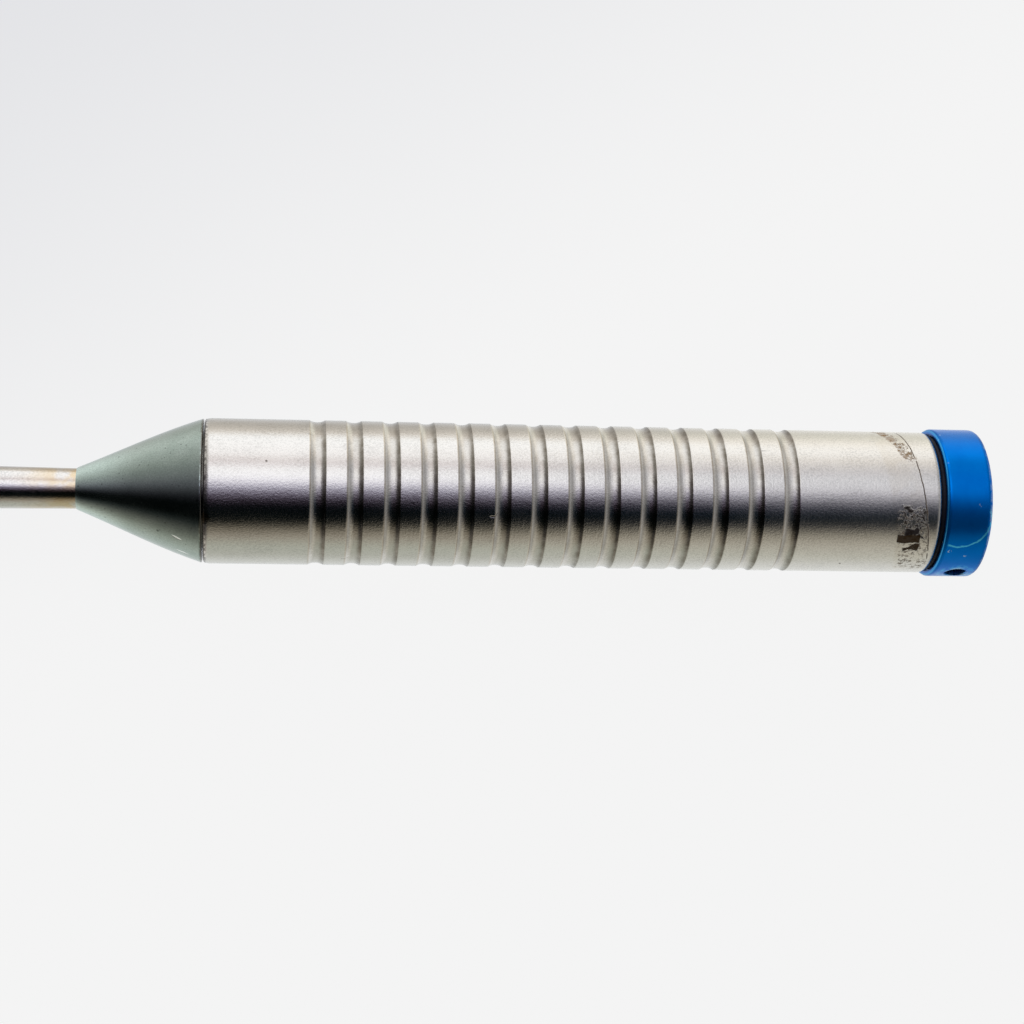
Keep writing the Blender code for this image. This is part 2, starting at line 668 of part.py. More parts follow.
def make_core_circlip():
    circlip = turned("core_circlip", handle_axis,
                     ring(circlip_rear - CIRCLIP_LENGTH, circlip_rear,
                          CORE_RADIUS - CIRCLIP_DEPTH + FIXED_GAP, CIRCLIP_RADIUS), SPRING_STEEL)
    opening = box_mesh("circlip_opening", (0, -CIRCLIP_OPENING / 2, circlip_rear - 2 * CIRCLIP_LENGTH),
                       (2 * CIRCLIP_RADIUS, CIRCLIP_OPENING / 2, circlip_rear + CIRCLIP_LENGTH))
    boolean(circlip, add_cutter("circlip_opening", opening, handle_axis), "DIFFERENCE")


def make_thrust_washer():
    turned("thrust_washer", handle_axis,
           ring(washer_front, washer_front + WASHER_LENGTH, core_socket + FIXED_GAP,
                sleeve_bore - 2 * FACE_GAP), BLACK)


def cone_radius(part):
    """Radius of the cone at a part (0 at the nose, 1 at the base) of its length. The swell's curve,
    part squared times (1 - part), is 4/27 at its highest."""
    straight = CONE_NOSE_RADIUS + (cone_base_radius - CONE_NOSE_RADIUS) * part
    return straight + CONE_SWELL * part ** 2 * (1 - part) * 27 / 4


def make_nose_cone():
    outer = [(cone_nose, NECK_REAR_RADIUS + FIXED_GAP + CONE_NOSE_LAND)]
    for i in range(CONE_STEPS + 1):
        part = (i + NOSE_PART) / (CONE_STEPS + NOSE_PART)
        outer.append((cone_nose + CONE_LENGTH * part, cone_radius(part)))
    boss_radius = sleeve_bore - 3 * FACE_GAP
    inner = [(cone_base, boss_radius), (boss_rear, boss_radius), (boss_rear, core_socket),
             (core_front - FACE_GAP, core_socket), (core_front - FACE_GAP, NECK_REAR_RADIUS + FIXED_GAP),
             (cone_nose, NECK_REAR_RADIUS + FIXED_GAP)]
    turned("nose_cone", handle_axis, outer + inner, GREY_GREEN)


def make_neck_tube():
    rear = cone_nose + NECK_SINK
    shoulder = elbow_x + ELBOW_REACH + FACE_GAP
    spigot = elbow_x + ELBOW_REACH - SPIGOT_LENGTH
    outline = [(spigot, NECK_BORE_RADIUS), (spigot, spigot_radius), (shoulder, spigot_radius),
               (shoulder, NECK_FRONT_RADIUS), (cone_nose, NECK_REAR_RADIUS), (rear, NECK_REAR_RADIUS),
               (rear, NECK_BORE_RADIUS)]
    turned("neck_tube", handle_axis, outline, NECK_STEEL)


def make_union_nut():
    inner = NECK_FRONT_RADIUS + FIXED_GAP
    start = elbow_x + ELBOW_REACH + 2 * FACE_GAP
    turned("union_nut", handle_axis, ring(start, start + UNION_LENGTH, inner, inner + UNION_WALL,
                                            UNION_CHAMFER), NECK_STEEL)


# ---------------------------------------------------------------- elbow and shafts

def make_elbow_housing():
    """A bent open tube, thickened inwards."""
    tangent = ELBOW_ARC * math.tan(BEND / 2)
    inward = (HANDLE + FORWARD).normalized()
    centre = CORNER + inward * (ELBOW_ARC / math.cos(BEND / 2))
    start = CORNER + HANDLE * tangent - centre
    plane = start.cross(CORNER + FORWARD * tangent - centre).normalized()
    points = [CORNER + HANDLE * ELBOW_REACH]
    for i in range(BEND_POINTS):
        points.append(centre + Matrix.Rotation(BEND * i / (BEND_POINTS - 1), 3, plane) @ start)
    points.append(CORNER + FORWARD * ELBOW_REACH)
    mesh = curve_mesh("elbow_housing", points, ELBOW_RADIUS, False, BEND_SIDES)
    housing = add_object("elbow_housing", mesh, None, NECK_STEEL)
    shell = housing.modifiers.new("wall", "SOLIDIFY")
    shell.thickness = ELBOW_WALL
    shell.offset = -1
    shell.use_even_offset = True


def make_shaft_bushes():
    bore = SHAFT_RADIUS + RUNNING_GAP
    start = ELBOW_REACH - SPIGOT_LENGTH + FACE_GAP
    end = start + SHAFT_BUSH_LENGTH
    profile = ring(start, end, bore, shaft_bush_radius)
    turned("neck_shaft_bush", rear_shaft_axis, profile, BRONZE, SEGMENTS_SMALL)
    turned("front_shaft_bush", front_shaft_axis, profile, BRONZE, SEGMENTS_SMALL)
    rear = core_rear - FACE_GAP
    turned("rear_shaft_bush", handle_axis,
           ring(rear - REAR_SHAFT_BUSH_LENGTH, rear, SHAFT_JOURNAL_RADIUS + RUNNING_GAP,
                CORE_BORE_RADIUS - FIXED_GAP), BRONZE, SEGMENTS_SMALL)


def make_drive_shaft():
    pin_front = elbow_x + SHAFT_PIN_START
    pin_rear = elbow_x + ELBOW_GEAR_BACK + FACE_GAP
    journal_front = core_rear - REAR_SHAFT_BUSH_LENGTH - 4 * FACE_GAP
    journal_rear = core_rear + 4 * FACE_GAP
    shaft = turned("drive_shaft", handle_axis,
                   rod((pin_front, SHAFT_PIN_RADIUS), (pin_rear, SHAFT_PIN_RADIUS), (pin_rear, SHAFT_RADIUS),
                       (journal_front, SHAFT_RADIUS), (journal_front, SHAFT_JOURNAL_RADIUS),
                       (journal_rear, SHAFT_JOURNAL_RADIUS)), GEAR_STEEL, SEGMENTS_SMALL)
    half = SQUARE_WIDTH / 2
    square = box_mesh("shaft_square", (-half, -half, journal_rear - 4 * FACE_GAP),
                      (half, half, hub_front + SQUARE_DEPTH - 5 * FACE_GAP))
    boolean(shaft, add_cutter("shaft_square", square, handle_axis), "UNION")


def make_front_shaft():
    pin_start = SHAFT_PIN_START
    pin_end = ELBOW_GEAR_BACK + FACE_GAP
    far_pin = FRONT_SHAFT_LENGTH - CHUCK_GEAR_BACK - FACE_GAP
    far_end = FRONT_SHAFT_LENGTH - CHUCK_GEAR_BACK + PINION_PIN_LENGTH
    turned("front_shaft", front_shaft_axis,
           rod((pin_start, SHAFT_PIN_RADIUS), (pin_end, SHAFT_PIN_RADIUS), (pin_end, SHAFT_RADIUS),
               (far_pin, SHAFT_RADIUS), (far_pin, SHAFT_PIN_RADIUS), (far_end, SHAFT_PIN_RADIUS)),
           GEAR_STEEL, SEGMENTS_SMALL)


def make_gears():
    elbow_angle = math.pi / 2 - BEND / 2
    elbow_cone = ELBOW_GEAR_RADIUS / math.sin(elbow_angle)
    bore = SHAFT_PIN_RADIUS + FIXED_GAP
    elbow = (ELBOW_TEETH, elbow_angle, elbow_cone, ELBOW_GEAR_FACE, ELBOW_ADDENDUM, ELBOW_DEDENDUM, bore,
             ELBOW_HUB_RADIUS, ELBOW_GEAR_BACK)
    bevel_gear("elbow_gear_rear", rear_shaft_axis, GEAR_STEEL, *elbow, gap_first=False)
    bevel_gear("elbow_gear_front", front_shaft_axis, GEAR_STEEL, *elbow, gap_first=True)
    head = (CHUCK_TEETH, math.pi / 4, CHUCK_CONE, CHUCK_GEAR_FACE, CHUCK_ADDENDUM, CHUCK_DEDENDUM)
    bevel_gear("head_pinion", pinion_axis, GEAR_STEEL, *head, bore, CHUCK_GEAR_HUB, CHUCK_GEAR_BACK,
               gap_first=False)
    bevel_gear("chuck_gear", work_axis, GEAR_STEEL, *head, CHUCK_RADIUS + FIXED_GAP, CHUCK_GEAR_HUB,
               CHUCK_GEAR_BACK, gap_first=True)


# ---------------------------------------------------------------- head

def make_head_housing():
    housing = turned("head_housing", work_axis,
                     rod((-HEAD_BACK, HEAD_RADIUS), (HEAD_TAPER_START, HEAD_RADIUS),
                         (HEAD_FRONT - MOUTH_CHAMFER, MOUTH_RADIUS),
                         (HEAD_FRONT, MOUTH_RADIUS - MOUTH_CHAMFER)), NECK_STEEL)
    shoulder = FRONT_SHAFT_LENGTH - ELBOW_REACH - FACE_GAP
    spigot = FRONT_SHAFT_LENGTH - ELBOW_REACH + SPIGOT_LENGTH
    neck = turned_cutter("head_neck", pinion_axis,
                         rod((NECK_ROOT_START, NECK_ROOT_RADIUS), (NECK_ROOT_LENGTH, NECK_ROOT_RADIUS),
                             (shoulder, ELBOW_RADIUS - HEAD_NECK_STEP), (shoulder, spigot_radius),
                             (spigot, spigot_radius)))
    boolean(housing, neck, "UNION")
    floor = CHUCK_GEAR_BACK + FACE_GAP
    cavity = turned_cutter("head_cavity", work_axis,
                           rod((-2 * HEAD_BACK, head_cavity), (floor, head_cavity), (floor, mouth_bore),
                               (2 * HEAD_FRONT, mouth_bore)))
    boolean(housing, cavity, "DIFFERENCE")
    tip = (CHUCK_CONE + CHUCK_ADDENDUM) * math.cos(math.pi / 4) + 2 * FACE_GAP
    bore = turned_cutter("neck_bore", pinion_axis,
                         rod((0, tip), (tip + FACE_GAP, tip),
                             (CHUCK_GEAR_BACK + 2 * FACE_GAP, CHUCK_GEAR_HUB + 2 * FACE_GAP),
                             (CHUCK_GEAR_BACK + 2 * FACE_GAP, NECK_BORE_RADIUS),
                             (2 * FRONT_SHAFT_LENGTH, NECK_BORE_RADIUS)))
    boolean(housing, bore, "DIFFERENCE")


def make_head_bushes():
    start = CHUCK_GEAR_BACK + 3 * FACE_GAP
    turned("head_lower_bush", work_axis,
           ring(start, HEAD_FRONT - FACE_GAP, lower_bush_bore, lower_bush_radius), BRONZE, SEGMENTS_SMALL)
    turned("head_upper_bush", back_axis,
           ring(UPPER_BUSH_START, upper_bush_end, lower_bush_bore, head_cavity - FIXED_GAP), BRONZE,
           SEGMENTS_SMALL)
    start = CHUCK_GEAR_BACK + 4 * FACE_GAP
    turned("head_shaft_bush", pinion_axis,
           ring(start, start + SHAFT_BUSH_LENGTH, SHAFT_RADIUS + RUNNING_GAP, shaft_bush_radius), BRONZE,
           SEGMENTS_SMALL)


def make_chuck():
    turned("chuck_spindle", work_axis,
           ring(-chuck_end, HEAD_FRONT + CHUCK_STANDS_OUT, CHUCK_BORE_RADIUS, CHUCK_RADIUS), GEAR_STEEL)
    latch = turned("chuck_latch", back_axis,
                   ring(latch_start, latch_end, LATCH_SLOT / 2, CHUCK_RADIUS - FACE_GAP), SPRING_STEEL,
                   SEGMENTS_SMALL)
    slot = box_mesh("latch_slot", (0, -LATCH_SLOT / 2, latch_start - FACE_GAP),
                    (2 * CHUCK_RADIUS, LATCH_SLOT / 2, latch_end + FACE_GAP))
    boolean(latch, add_cutter("latch_slot", slot, back_axis), "DIFFERENCE")


def make_back_cap():
    spigot_inner = BUTTON_FLANGE_RADIUS + FACE_GAP
    spigot_start = upper_bush_end + FACE_GAP
    hole = BUTTON_RADIUS + FACE_GAP
    outline = [(back_cap_start, HEAD_RADIUS), (back_cap_end - BACK_CAP_CHAMFER, HEAD_RADIUS),
               (back_cap_end, HEAD_RADIUS - BACK_CAP_CHAMFER), (back_cap_end, hole),
               (back_cap_end - BACK_CAP_LIP, hole), (back_cap_end - BACK_CAP_LIP, spigot_inner),
               (spigot_start, spigot_inner), (spigot_start, head_cavity - FIXED_GAP),
               (back_cap_start, head_cavity - FIXED_GAP)]
    turned("back_cap", back_axis, outline, NECK_STEEL)


def make_push_button():
    turned("push_button", back_axis,
           rod((plunger_end, BUTTON_PLUNGER_RADIUS), (flange_bottom, BUTTON_PLUNGER_RADIUS),
               (flange_bottom, BUTTON_FLANGE_RADIUS), (flange_top, BUTTON_FLANGE_RADIUS),
               (flange_top, BUTTON_RADIUS), (button_top - BUTTON_CHAMFER, BUTTON_RADIUS),
               (button_top, BUTTON_RADIUS - BUTTON_CHAMFER)), NECK_STEEL, SEGMENTS_SMALL)


def make_button_spring():
    start = upper_bush_end + FACE_GAP + BUTTON_WIRE_RADIUS
    end = flange_bottom - FACE_GAP - BUTTON_WIRE_RADIUS
    points = coil_points(start, end, BUTTON_SPRING_RADIUS, BUTTON_SPRING_TURNS,
                         BUTTON_COIL_POINTS)
    add_object("button_spring", curve_mesh("button_spring", points, BUTTON_WIRE_RADIUS, True), back_axis,
               SPRING_STEEL)


make_grip_sleeve()
make_sleeve_bushes()
make_drive_ring()
make_controller_cap()
make_cap_seal()
make_barrel()
make_clutch()
make_clutch_spring()
make_adjusting_nut()
make_core_tube()
make_core_circlip()
make_thrust_washer()
make_nose_cone()
make_neck_tube()
make_union_nut()
make_elbow_housing()
make_shaft_bushes()
make_drive_shaft()
make_front_shaft()
make_gears()
make_head_housing()
make_head_bushes()
make_chuck()
make_back_cap()
make_push_button()
make_button_spring()
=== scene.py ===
"""The looks of the contra-angle torque driver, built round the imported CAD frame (metres, +Z up).

Every turned piece is made in its own axis frame: Z runs along the piece's axis. The handle's axis is the
X axis. In its frame a turn of 0 faces up, towards the camera, and a positive turn goes towards -Y.
"""

import json
import math

import bmesh
import bpy
from mathutils import Matrix, Vector


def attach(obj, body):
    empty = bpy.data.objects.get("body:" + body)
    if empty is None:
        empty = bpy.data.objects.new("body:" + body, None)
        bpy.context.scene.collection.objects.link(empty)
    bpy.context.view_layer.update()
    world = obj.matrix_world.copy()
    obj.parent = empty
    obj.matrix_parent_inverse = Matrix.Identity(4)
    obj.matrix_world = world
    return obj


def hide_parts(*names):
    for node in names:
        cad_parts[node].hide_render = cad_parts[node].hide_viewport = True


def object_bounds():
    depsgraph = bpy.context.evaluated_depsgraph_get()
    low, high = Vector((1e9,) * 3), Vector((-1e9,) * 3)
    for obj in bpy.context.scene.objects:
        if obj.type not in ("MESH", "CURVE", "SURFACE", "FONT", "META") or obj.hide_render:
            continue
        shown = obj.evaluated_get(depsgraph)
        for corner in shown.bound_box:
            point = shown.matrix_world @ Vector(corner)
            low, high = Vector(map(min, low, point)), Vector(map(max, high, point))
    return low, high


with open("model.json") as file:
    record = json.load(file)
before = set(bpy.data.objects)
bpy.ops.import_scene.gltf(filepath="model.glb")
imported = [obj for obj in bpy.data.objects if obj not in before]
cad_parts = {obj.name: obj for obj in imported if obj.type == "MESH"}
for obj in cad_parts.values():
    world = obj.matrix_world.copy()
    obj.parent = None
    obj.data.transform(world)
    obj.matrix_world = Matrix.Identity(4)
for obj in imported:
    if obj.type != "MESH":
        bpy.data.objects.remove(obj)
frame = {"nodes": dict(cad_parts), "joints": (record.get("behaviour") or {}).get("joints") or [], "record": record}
cad_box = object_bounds()
MM = 0.001
JOINTS = {joint["name"]: joint for joint in frame["joints"]}

# ---------------------------------------------------------------- axis frames, from the CAD joints


def axis_frame(origin, along, across):
    """Matrix whose Z runs along an axis and whose X points as nearly as it can across it."""
    z = Vector(along).normalized()
    x = Vector(across)
    x = (x - z * x.dot(z)).normalized()
    return Matrix.Translation(origin) @ Matrix((x, z.cross(x), z)).transposed().to_4x4()


HANDLE_DIRECTION = Vector(JOINTS["handle_spin"]["axis"])
TOWARDS_CAMERA = Vector((0, 0, 1))
CORNER = Vector(JOINTS["front_shaft_spin"]["pos_m"])
FORWARD = -Vector(JOINTS["front_shaft_spin"]["axis"])
HEAD_CENTRE = Vector(JOINTS["chuck_spin"]["pos_m"])
WORK = Vector(JOINTS["chuck_spin"]["axis"])
HOLE_ROLL = math.radians(161)   # of the cap's cross hole, about +X, from +Y

handle_frame = axis_frame((0, 0, 0), HANDLE_DIRECTION, TOWARDS_CAMERA)
cap_frame = axis_frame((0, 0, 0), HANDLE_DIRECTION, (0, math.cos(HOLE_ROLL), math.sin(HOLE_ROLL)))
neck_frame = axis_frame(HEAD_CENTRE, -FORWARD, WORK)
work_frame = axis_frame(HEAD_CENTRE, WORK, -FORWARD)
back_frame = axis_frame(HEAD_CENTRE, -WORK, -FORWARD)


def span(node, matrix):
    """(lowest station, highest station, smallest radius, largest radius) of a CAD node in an axis frame."""
    inverse = matrix.inverted()
    points = [inverse @ vertex.co for vertex in frame["nodes"][node].data.vertices]
    stations = [point.z for point in points]
    radii = [math.hypot(point.x, point.y) for point in points]
    return min(stations), max(stations), min(radii), max(radii)


# The grip's grooves; FIRST_GROOVE is from the sleeve's front edge to the middle of the first
GROOVES, PITCH, FIRST_GROOVE = 14, 4.0 * MM, 12.2 * MM
GROOVE_HALF, GROOVE_DEPTH = 0.8748 * MM, 0.22 * MM
SKIRT = 0.35 * MM   # how far the cap's rim reaches over the black seal

# ---------------------------------------------------------------- mesh helpers

def link(name, mesh, matrix):
    item = bpy.data.objects.new(name, mesh)
    bpy.context.scene.collection.objects.link(item)
    item.matrix_world = matrix
    return item


NEARLY_STRAIGHT = math.radians(88)   # half the angle of a corner that needs no round
SHARE = 0.48                         # of a run that the round at one of its ends may take
CUT_SHARP = 35                       # degrees, for the edges that a cut leaves


def arc_corner(before, corner, after, radius, steps):
    """Points of the round that joins two straight runs at a corner."""
    to_before = Vector(before) - Vector(corner)
    to_after = Vector(after) - Vector(corner)
    half = to_before.angle(to_after, math.pi) / 2
    if half > NEARLY_STRAIGHT:
        return [tuple(corner)]
    reach = min(radius / math.tan(half), SHARE * to_before.length, SHARE * to_after.length)
    start = Vector(corner) + to_before.normalized() * reach
    end = Vector(corner) + to_after.normalized() * reach
    points = []
    for i in range(steps + 1):
        t = i / steps
        points.append(tuple(start * (1 - t) ** 2 + Vector(corner) * 2 * t * (1 - t) + end * t ** 2))
    return points


def rounded(profile, radius, steps):
    """The closed profile (station, radius) with each of its corners rounded."""
    result = []
    for i, point in enumerate(profile):
        result += arc_corner(profile[i - 1], point, profile[(i + 1) % len(profile)], radius, steps)
    return result


HOLD = 0.1 * MM       # how close to the end of a straight run its holding point sits
LONG_RUN = 8 * HOLD   # the shortest run that gets holding points
ON_AXIS = 1e-9


def held(profile, closed):
    """Adds points close to both ends of long straight runs, so that these shade straight."""
    points = []
    for i, start in enumerate(profile):
        points.append(start)
        if i == len(profile) - 1 and not closed:
            break
        end = profile[(i + 1) % len(profile)]
        length = math.dist(start, end)
        if length > LONG_RUN and min(start[1], end[1]) > ON_AXIS:
            for part in (HOLD / length, 1 - HOLD / length):
                points.append(tuple(a + (b - a) * part for a, b in zip(start, end)))
    return points


def closed_mesh(name, verts, faces, sharp):
    """A mesh with its faces outward, smooth but for edges above an angle in degrees."""
    mesh = bpy.data.meshes.new(name)
    mesh.from_pydata(verts, [], faces)
    shape = bmesh.new()
    shape.from_mesh(mesh)
    bmesh.ops.recalc_face_normals(shape, faces=shape.faces)
    shape.to_mesh(mesh)
    shape.free()
    mesh.shade_smooth()
    mesh.set_sharp_from_angle(angle=math.radians(sharp))
    return mesh


def lathe(name, profile, matrix, segments=144, closed=True, shape=None, sharp=40):
    """Turns a profile round Z. shape(turn, station, radius) may change a radius."""
    points = held(profile, closed)
    area = sum(a[1] * b[0] - b[1] * a[0] for a, b in zip(points, points[1:] + points[:1]))
    if area > 0:
        points.reverse()
    verts, faces, rows = [], [], []
    for station, radius in points:
        if radius < ON_AXIS:
            rows.append([len(verts)] * segments)
            verts.append((0, 0, station))
            continue
        rows.append(list(range(len(verts), len(verts) + segments)))
        for i in range(segments):
            turn = 2 * math.pi * i / segments
            r = shape(turn, station, radius) if shape else radius
            verts.append((r * math.cos(turn), r * math.sin(turn), station))
    pairs = list(zip(rows, rows[1:]))
    if closed:
        pairs.append((rows[-1], rows[0]))
    for this, following in pairs:
        for i in range(segments):
            j = (i + 1) % segments
            corners = []
            for corner in (this[i], following[i], following[j], this[j]):
                if corner not in corners:
                    corners.append(corner)
            if len(corners) > 2:
                faces.append(corners)
    return link(name, closed_mesh(name, verts, faces, sharp), matrix)


def apply_modifiers(item):
    graph = bpy.context.evaluated_depsgraph_get()
    mesh = bpy.data.meshes.new_from_object(item.evaluated_get(graph))
    item.modifiers.clear()
    item.data = mesh


def cut(item, cutter, operation="DIFFERENCE"):
    modifier = item.modifiers.new("cut", "BOOLEAN")
    modifier.operation = operation
    modifier.object = cutter
    modifier.solver = "EXACT"
    bpy.context.view_layer.update()
    apply_modifiers(item)
    bpy.data.objects.remove(cutter, do_unlink=True)
    item.data.shade_smooth()
    item.data.set_sharp_from_angle(angle=math.radians(CUT_SHARP))


def box_object(low, high, matrix):
    mesh = bpy.data.meshes.new("box")
    shape = bmesh.new()
    bmesh.ops.create_cube(shape, size=1)
    size = Vector(high) - Vector(low)
    bmesh.ops.scale(shape, vec=size, verts=shape.verts)
    bmesh.ops.translate(shape, vec=(Vector(high) + Vector(low)) / 2, verts=shape.verts)
    shape.to_mesh(mesh)
    shape.free()
    return link("box", mesh, matrix)


# ---------------------------------------------------------------- material helpers

def set_frame(material, matrix):
    """Makes a material read its pattern in an axis frame."""
    node = material.node_tree.nodes["axis frame"]
    node.inputs["Location"].default_value = matrix.to_translation()
    node.inputs["Rotation"].default_value = matrix.to_euler("XYZ")


class Nodes:
    """A node tree, with short calls for the nodes used often."""

    def __init__(self, tree):
        self.tree = tree

    def add(self, kind, **settings):
        node = self.tree.nodes.new(kind)
        for key, value in settings.items():
            setattr(node, key, value)
        return node

    def join(self, source, target):
        if isinstance(source, (int, float)):
            target.default_value = source
        elif isinstance(source, tuple):
            target.default_value = (*source, 1) if len(target.default_value) == 4 else source
        else:
            self.tree.links.new(source, target)

    def math(self, operation, a, b=0.0):
        node = self.add("ShaderNodeMath", operation=operation)
        self.join(a, node.inputs[0])
        self.join(b, node.inputs[1])
        return node.outputs[0]

    def fold(self, operation, values):
        result = values[0]
        for value in values[1:]:
            result = self.math(operation, result, value)
        return result

    def plus(self, *values):
        return self.fold("ADD", values)

    def minus(self, a, b):
        return self.math("SUBTRACT", a, b)

    def product(self, *values):
        return self.fold("MULTIPLY", values)

    def most(self, *values):
        return self.fold("MAXIMUM", values)

    def distance(self, a, b):
        return self.math("SQRT", self.plus(self.product(a, a), self.product(b, b)))

    def split(self, vector):
        node = self.add("ShaderNodeSeparateXYZ")
        self.join(vector, node.inputs[0])
        return node.outputs

    def mix(self, amount, a, b, mode="MIX"):
        node = self.add("ShaderNodeMix", data_type="RGBA", blend_type=mode)
        self.join(amount, node.inputs["Factor"])
        self.join(a, node.inputs[6])
        self.join(b, node.inputs[7])
        return node.outputs[2]

    def steps(self, value, low, high, a=0.0, b=1.0, kind="SMOOTHSTEP"):
        """From a to b as value goes from low to high."""
        node = self.add("ShaderNodeMapRange", interpolation_type=kind)
        for socket, given in zip(node.inputs, (value, low, high, a, b)):
            self.join(given, socket)
        return node.outputs[0]

    def window(self, value, low, high, soft):
        """1 between low and high, falling to 0 over soft on either side."""
        return self.product(self.steps(value, low - soft, low), self.steps(value, high, high + soft, 1, 0))


RING_GRAIN = (90, 90, 14000)         # per metre, across and along the axis
SATIN_GRAIN = (5200, 5200, 4400)


class Graph(Nodes):
    """A material's nodes: patterns in its axis frame."""

    def __init__(self, name):
        self.material = bpy.data.materials.new(name)
        self.material.use_nodes = True
        super().__init__(self.material.node_tree)
        self.shader = self.tree.nodes["Principled BSDF"]
        coords = self.add("ShaderNodeTexCoord")
        in_frame = self.add("ShaderNodeMapping", vector_type="TEXTURE", name="axis frame")
        self.join(coords.outputs["Object"], in_frame.inputs[0])
        self.place = in_frame.outputs[0]
        set_frame(self.material, handle_frame)
        self.x, self.y, self.z = self.split(self.place)
        self.turn = self.math("ARCTAN2", self.y, self.x)
        self.radius = self.distance(self.x, self.y)

    def spread(self, noise, a=0.0, b=1.0):
        """From a to b over the range where most of a noise's values lie."""
        return self.steps(noise, 0.3, 0.7, a, b)

    def patches(self, scale, low, high, detail=3, rough=0.55, distortion=0):
        """Scattered patches: where a noise is above low to high."""
        return self.steps(self.noise(scale, detail, rough, distortion=distortion), low, high)

    def spots(self, scale, size, inner, shift=(0, 0, 0)):
        """Scattered round spots, full inside inner and gone outside size, in cell widths."""
        return self.steps(self.cells(scale, self.scaled((1, 1, 1), shift=shift)), size, inner)

    def wobble(self, scale, reach, detail=4, rough=0.55):
        """A noise from about -reach/4 to reach/4."""
        return self.product(self.minus(self.noise(scale, detail, rough), 0.5), reach)

    def paint(self, tint, colour, where, amount=1.0):
        return self.mix(self.product(where, amount), tint, colour)

    def scaled(self, scale, turn=(0, 0, 0), shift=(0, 0, 0)):
        node = self.add("ShaderNodeMapping")
        node.inputs["Scale"].default_value = scale
        node.inputs["Rotation"].default_value = turn
        node.inputs["Location"].default_value = shift
        self.join(self.place, node.inputs[0])
        return node.outputs[0]

    def noise(self, scale, detail=4, rough=0.55, vector=None, distortion=0):
        node = self.add("ShaderNodeTexNoise")
        node.inputs["Scale"].default_value = scale
        node.inputs["Detail"].default_value = detail
        node.inputs["Roughness"].default_value = rough
        node.inputs["Distortion"].default_value = distortion
        self.join(vector or self.place, node.inputs["Vector"])
        return node.outputs[0]

    def cells(self, scale, vector):
        """How far the nearest of many scattered points is."""
        node = self.add("ShaderNodeTexVoronoi", feature="F1")
        node.inputs["Scale"].default_value = scale
        self.join(vector, node.inputs["Vector"])
        return node.outputs["Distance"]

    def bump(self, height, strength, distance):
        node = self.add("ShaderNodeBump")
        node.inputs["Strength"].default_value = strength
        node.inputs["Distance"].default_value = distance
        self.join(height, node.inputs["Height"])
        return node.outputs[0]

    def set(self, **sockets):
        for name, value in sockets.items():
            self.join(value, self.shader.inputs[name.replace("_", " ")])

    def turned_grain(self, strength):
        """Fine rings left by turning: noise drawn out round the axis."""
        return self.product(self.noise(1, 3, 0.6, self.scaled(RING_GRAIN)), strength)

    def scratches(self, per_metre, slimness, size, turns):
        """Hairlines: thin scattered discs, turned several ways, where the surface cuts them."""
        marks = []
        for number, turn in enumerate(turns):
            flat = self.scaled((per_metre, per_metre * slimness, per_metre * slimness),
                               (turn, turn * 0.7, turn * 1.9), (number * 3.1, number * 1.7, number * 2.3))
            marks.append(self.steps(self.cells(1, flat), size, size * 0.6))
        return self.most(*marks)


def steel(name, colour, roughness, grain=1.0, turned=0.3):
    """Satin stainless steel with a fine speckle, faint turning rings and hairlines."""
    graph = Graph(name)
    rings = graph.turned_grain(turned)
    cloud = graph.noise(260, 5, 0.6)
    speckle = graph.noise(1, 3, 0.7, graph.scaled(SATIN_GRAIN))
    hairlines = graph.scratches(620, 0.08, 0.03, (0.4, 1.3, 2.2, 2.9))
    shade = graph.plus(graph.spread(cloud, 0.93, 1.04), graph.spread(speckle, -0.16, 0.1))
    tint = graph.mix(1.0, colour, graph.mix(shade, (0, 0, 0), (1, 1, 1)), "MULTIPLY")
    tint = graph.paint(tint, tuple(0.35 * c for c in colour), hairlines, 0.5)
    graph.rough = graph.plus(graph.spread(speckle, roughness * 0.85, roughness * 1.15),
                             graph.steps(cloud, 0.35, 0.75, -0.01, 0.03), graph.product(hairlines, 0.12))
    height = graph.plus(rings, graph.product(speckle, grain))
    graph.height = graph.minus(height, graph.product(hairlines, 1.2))
    graph.set(Metallic=1.0)
    return graph, tint


def finish_steel(graph, tint):
    graph.set(Base_Color=tint, Roughness=graph.rough, Normal=graph.bump(graph.height, 0.5, 0.036 * MM),
              Specular_IOR_Level=0.1)
    return graph.material


STEEL_COLOUR = (0.66, 0.63, 0.59)
GRIME = (0.04, 0.03, 0.03)
OLD_OIL = (0.12, 0.08, 0.04)


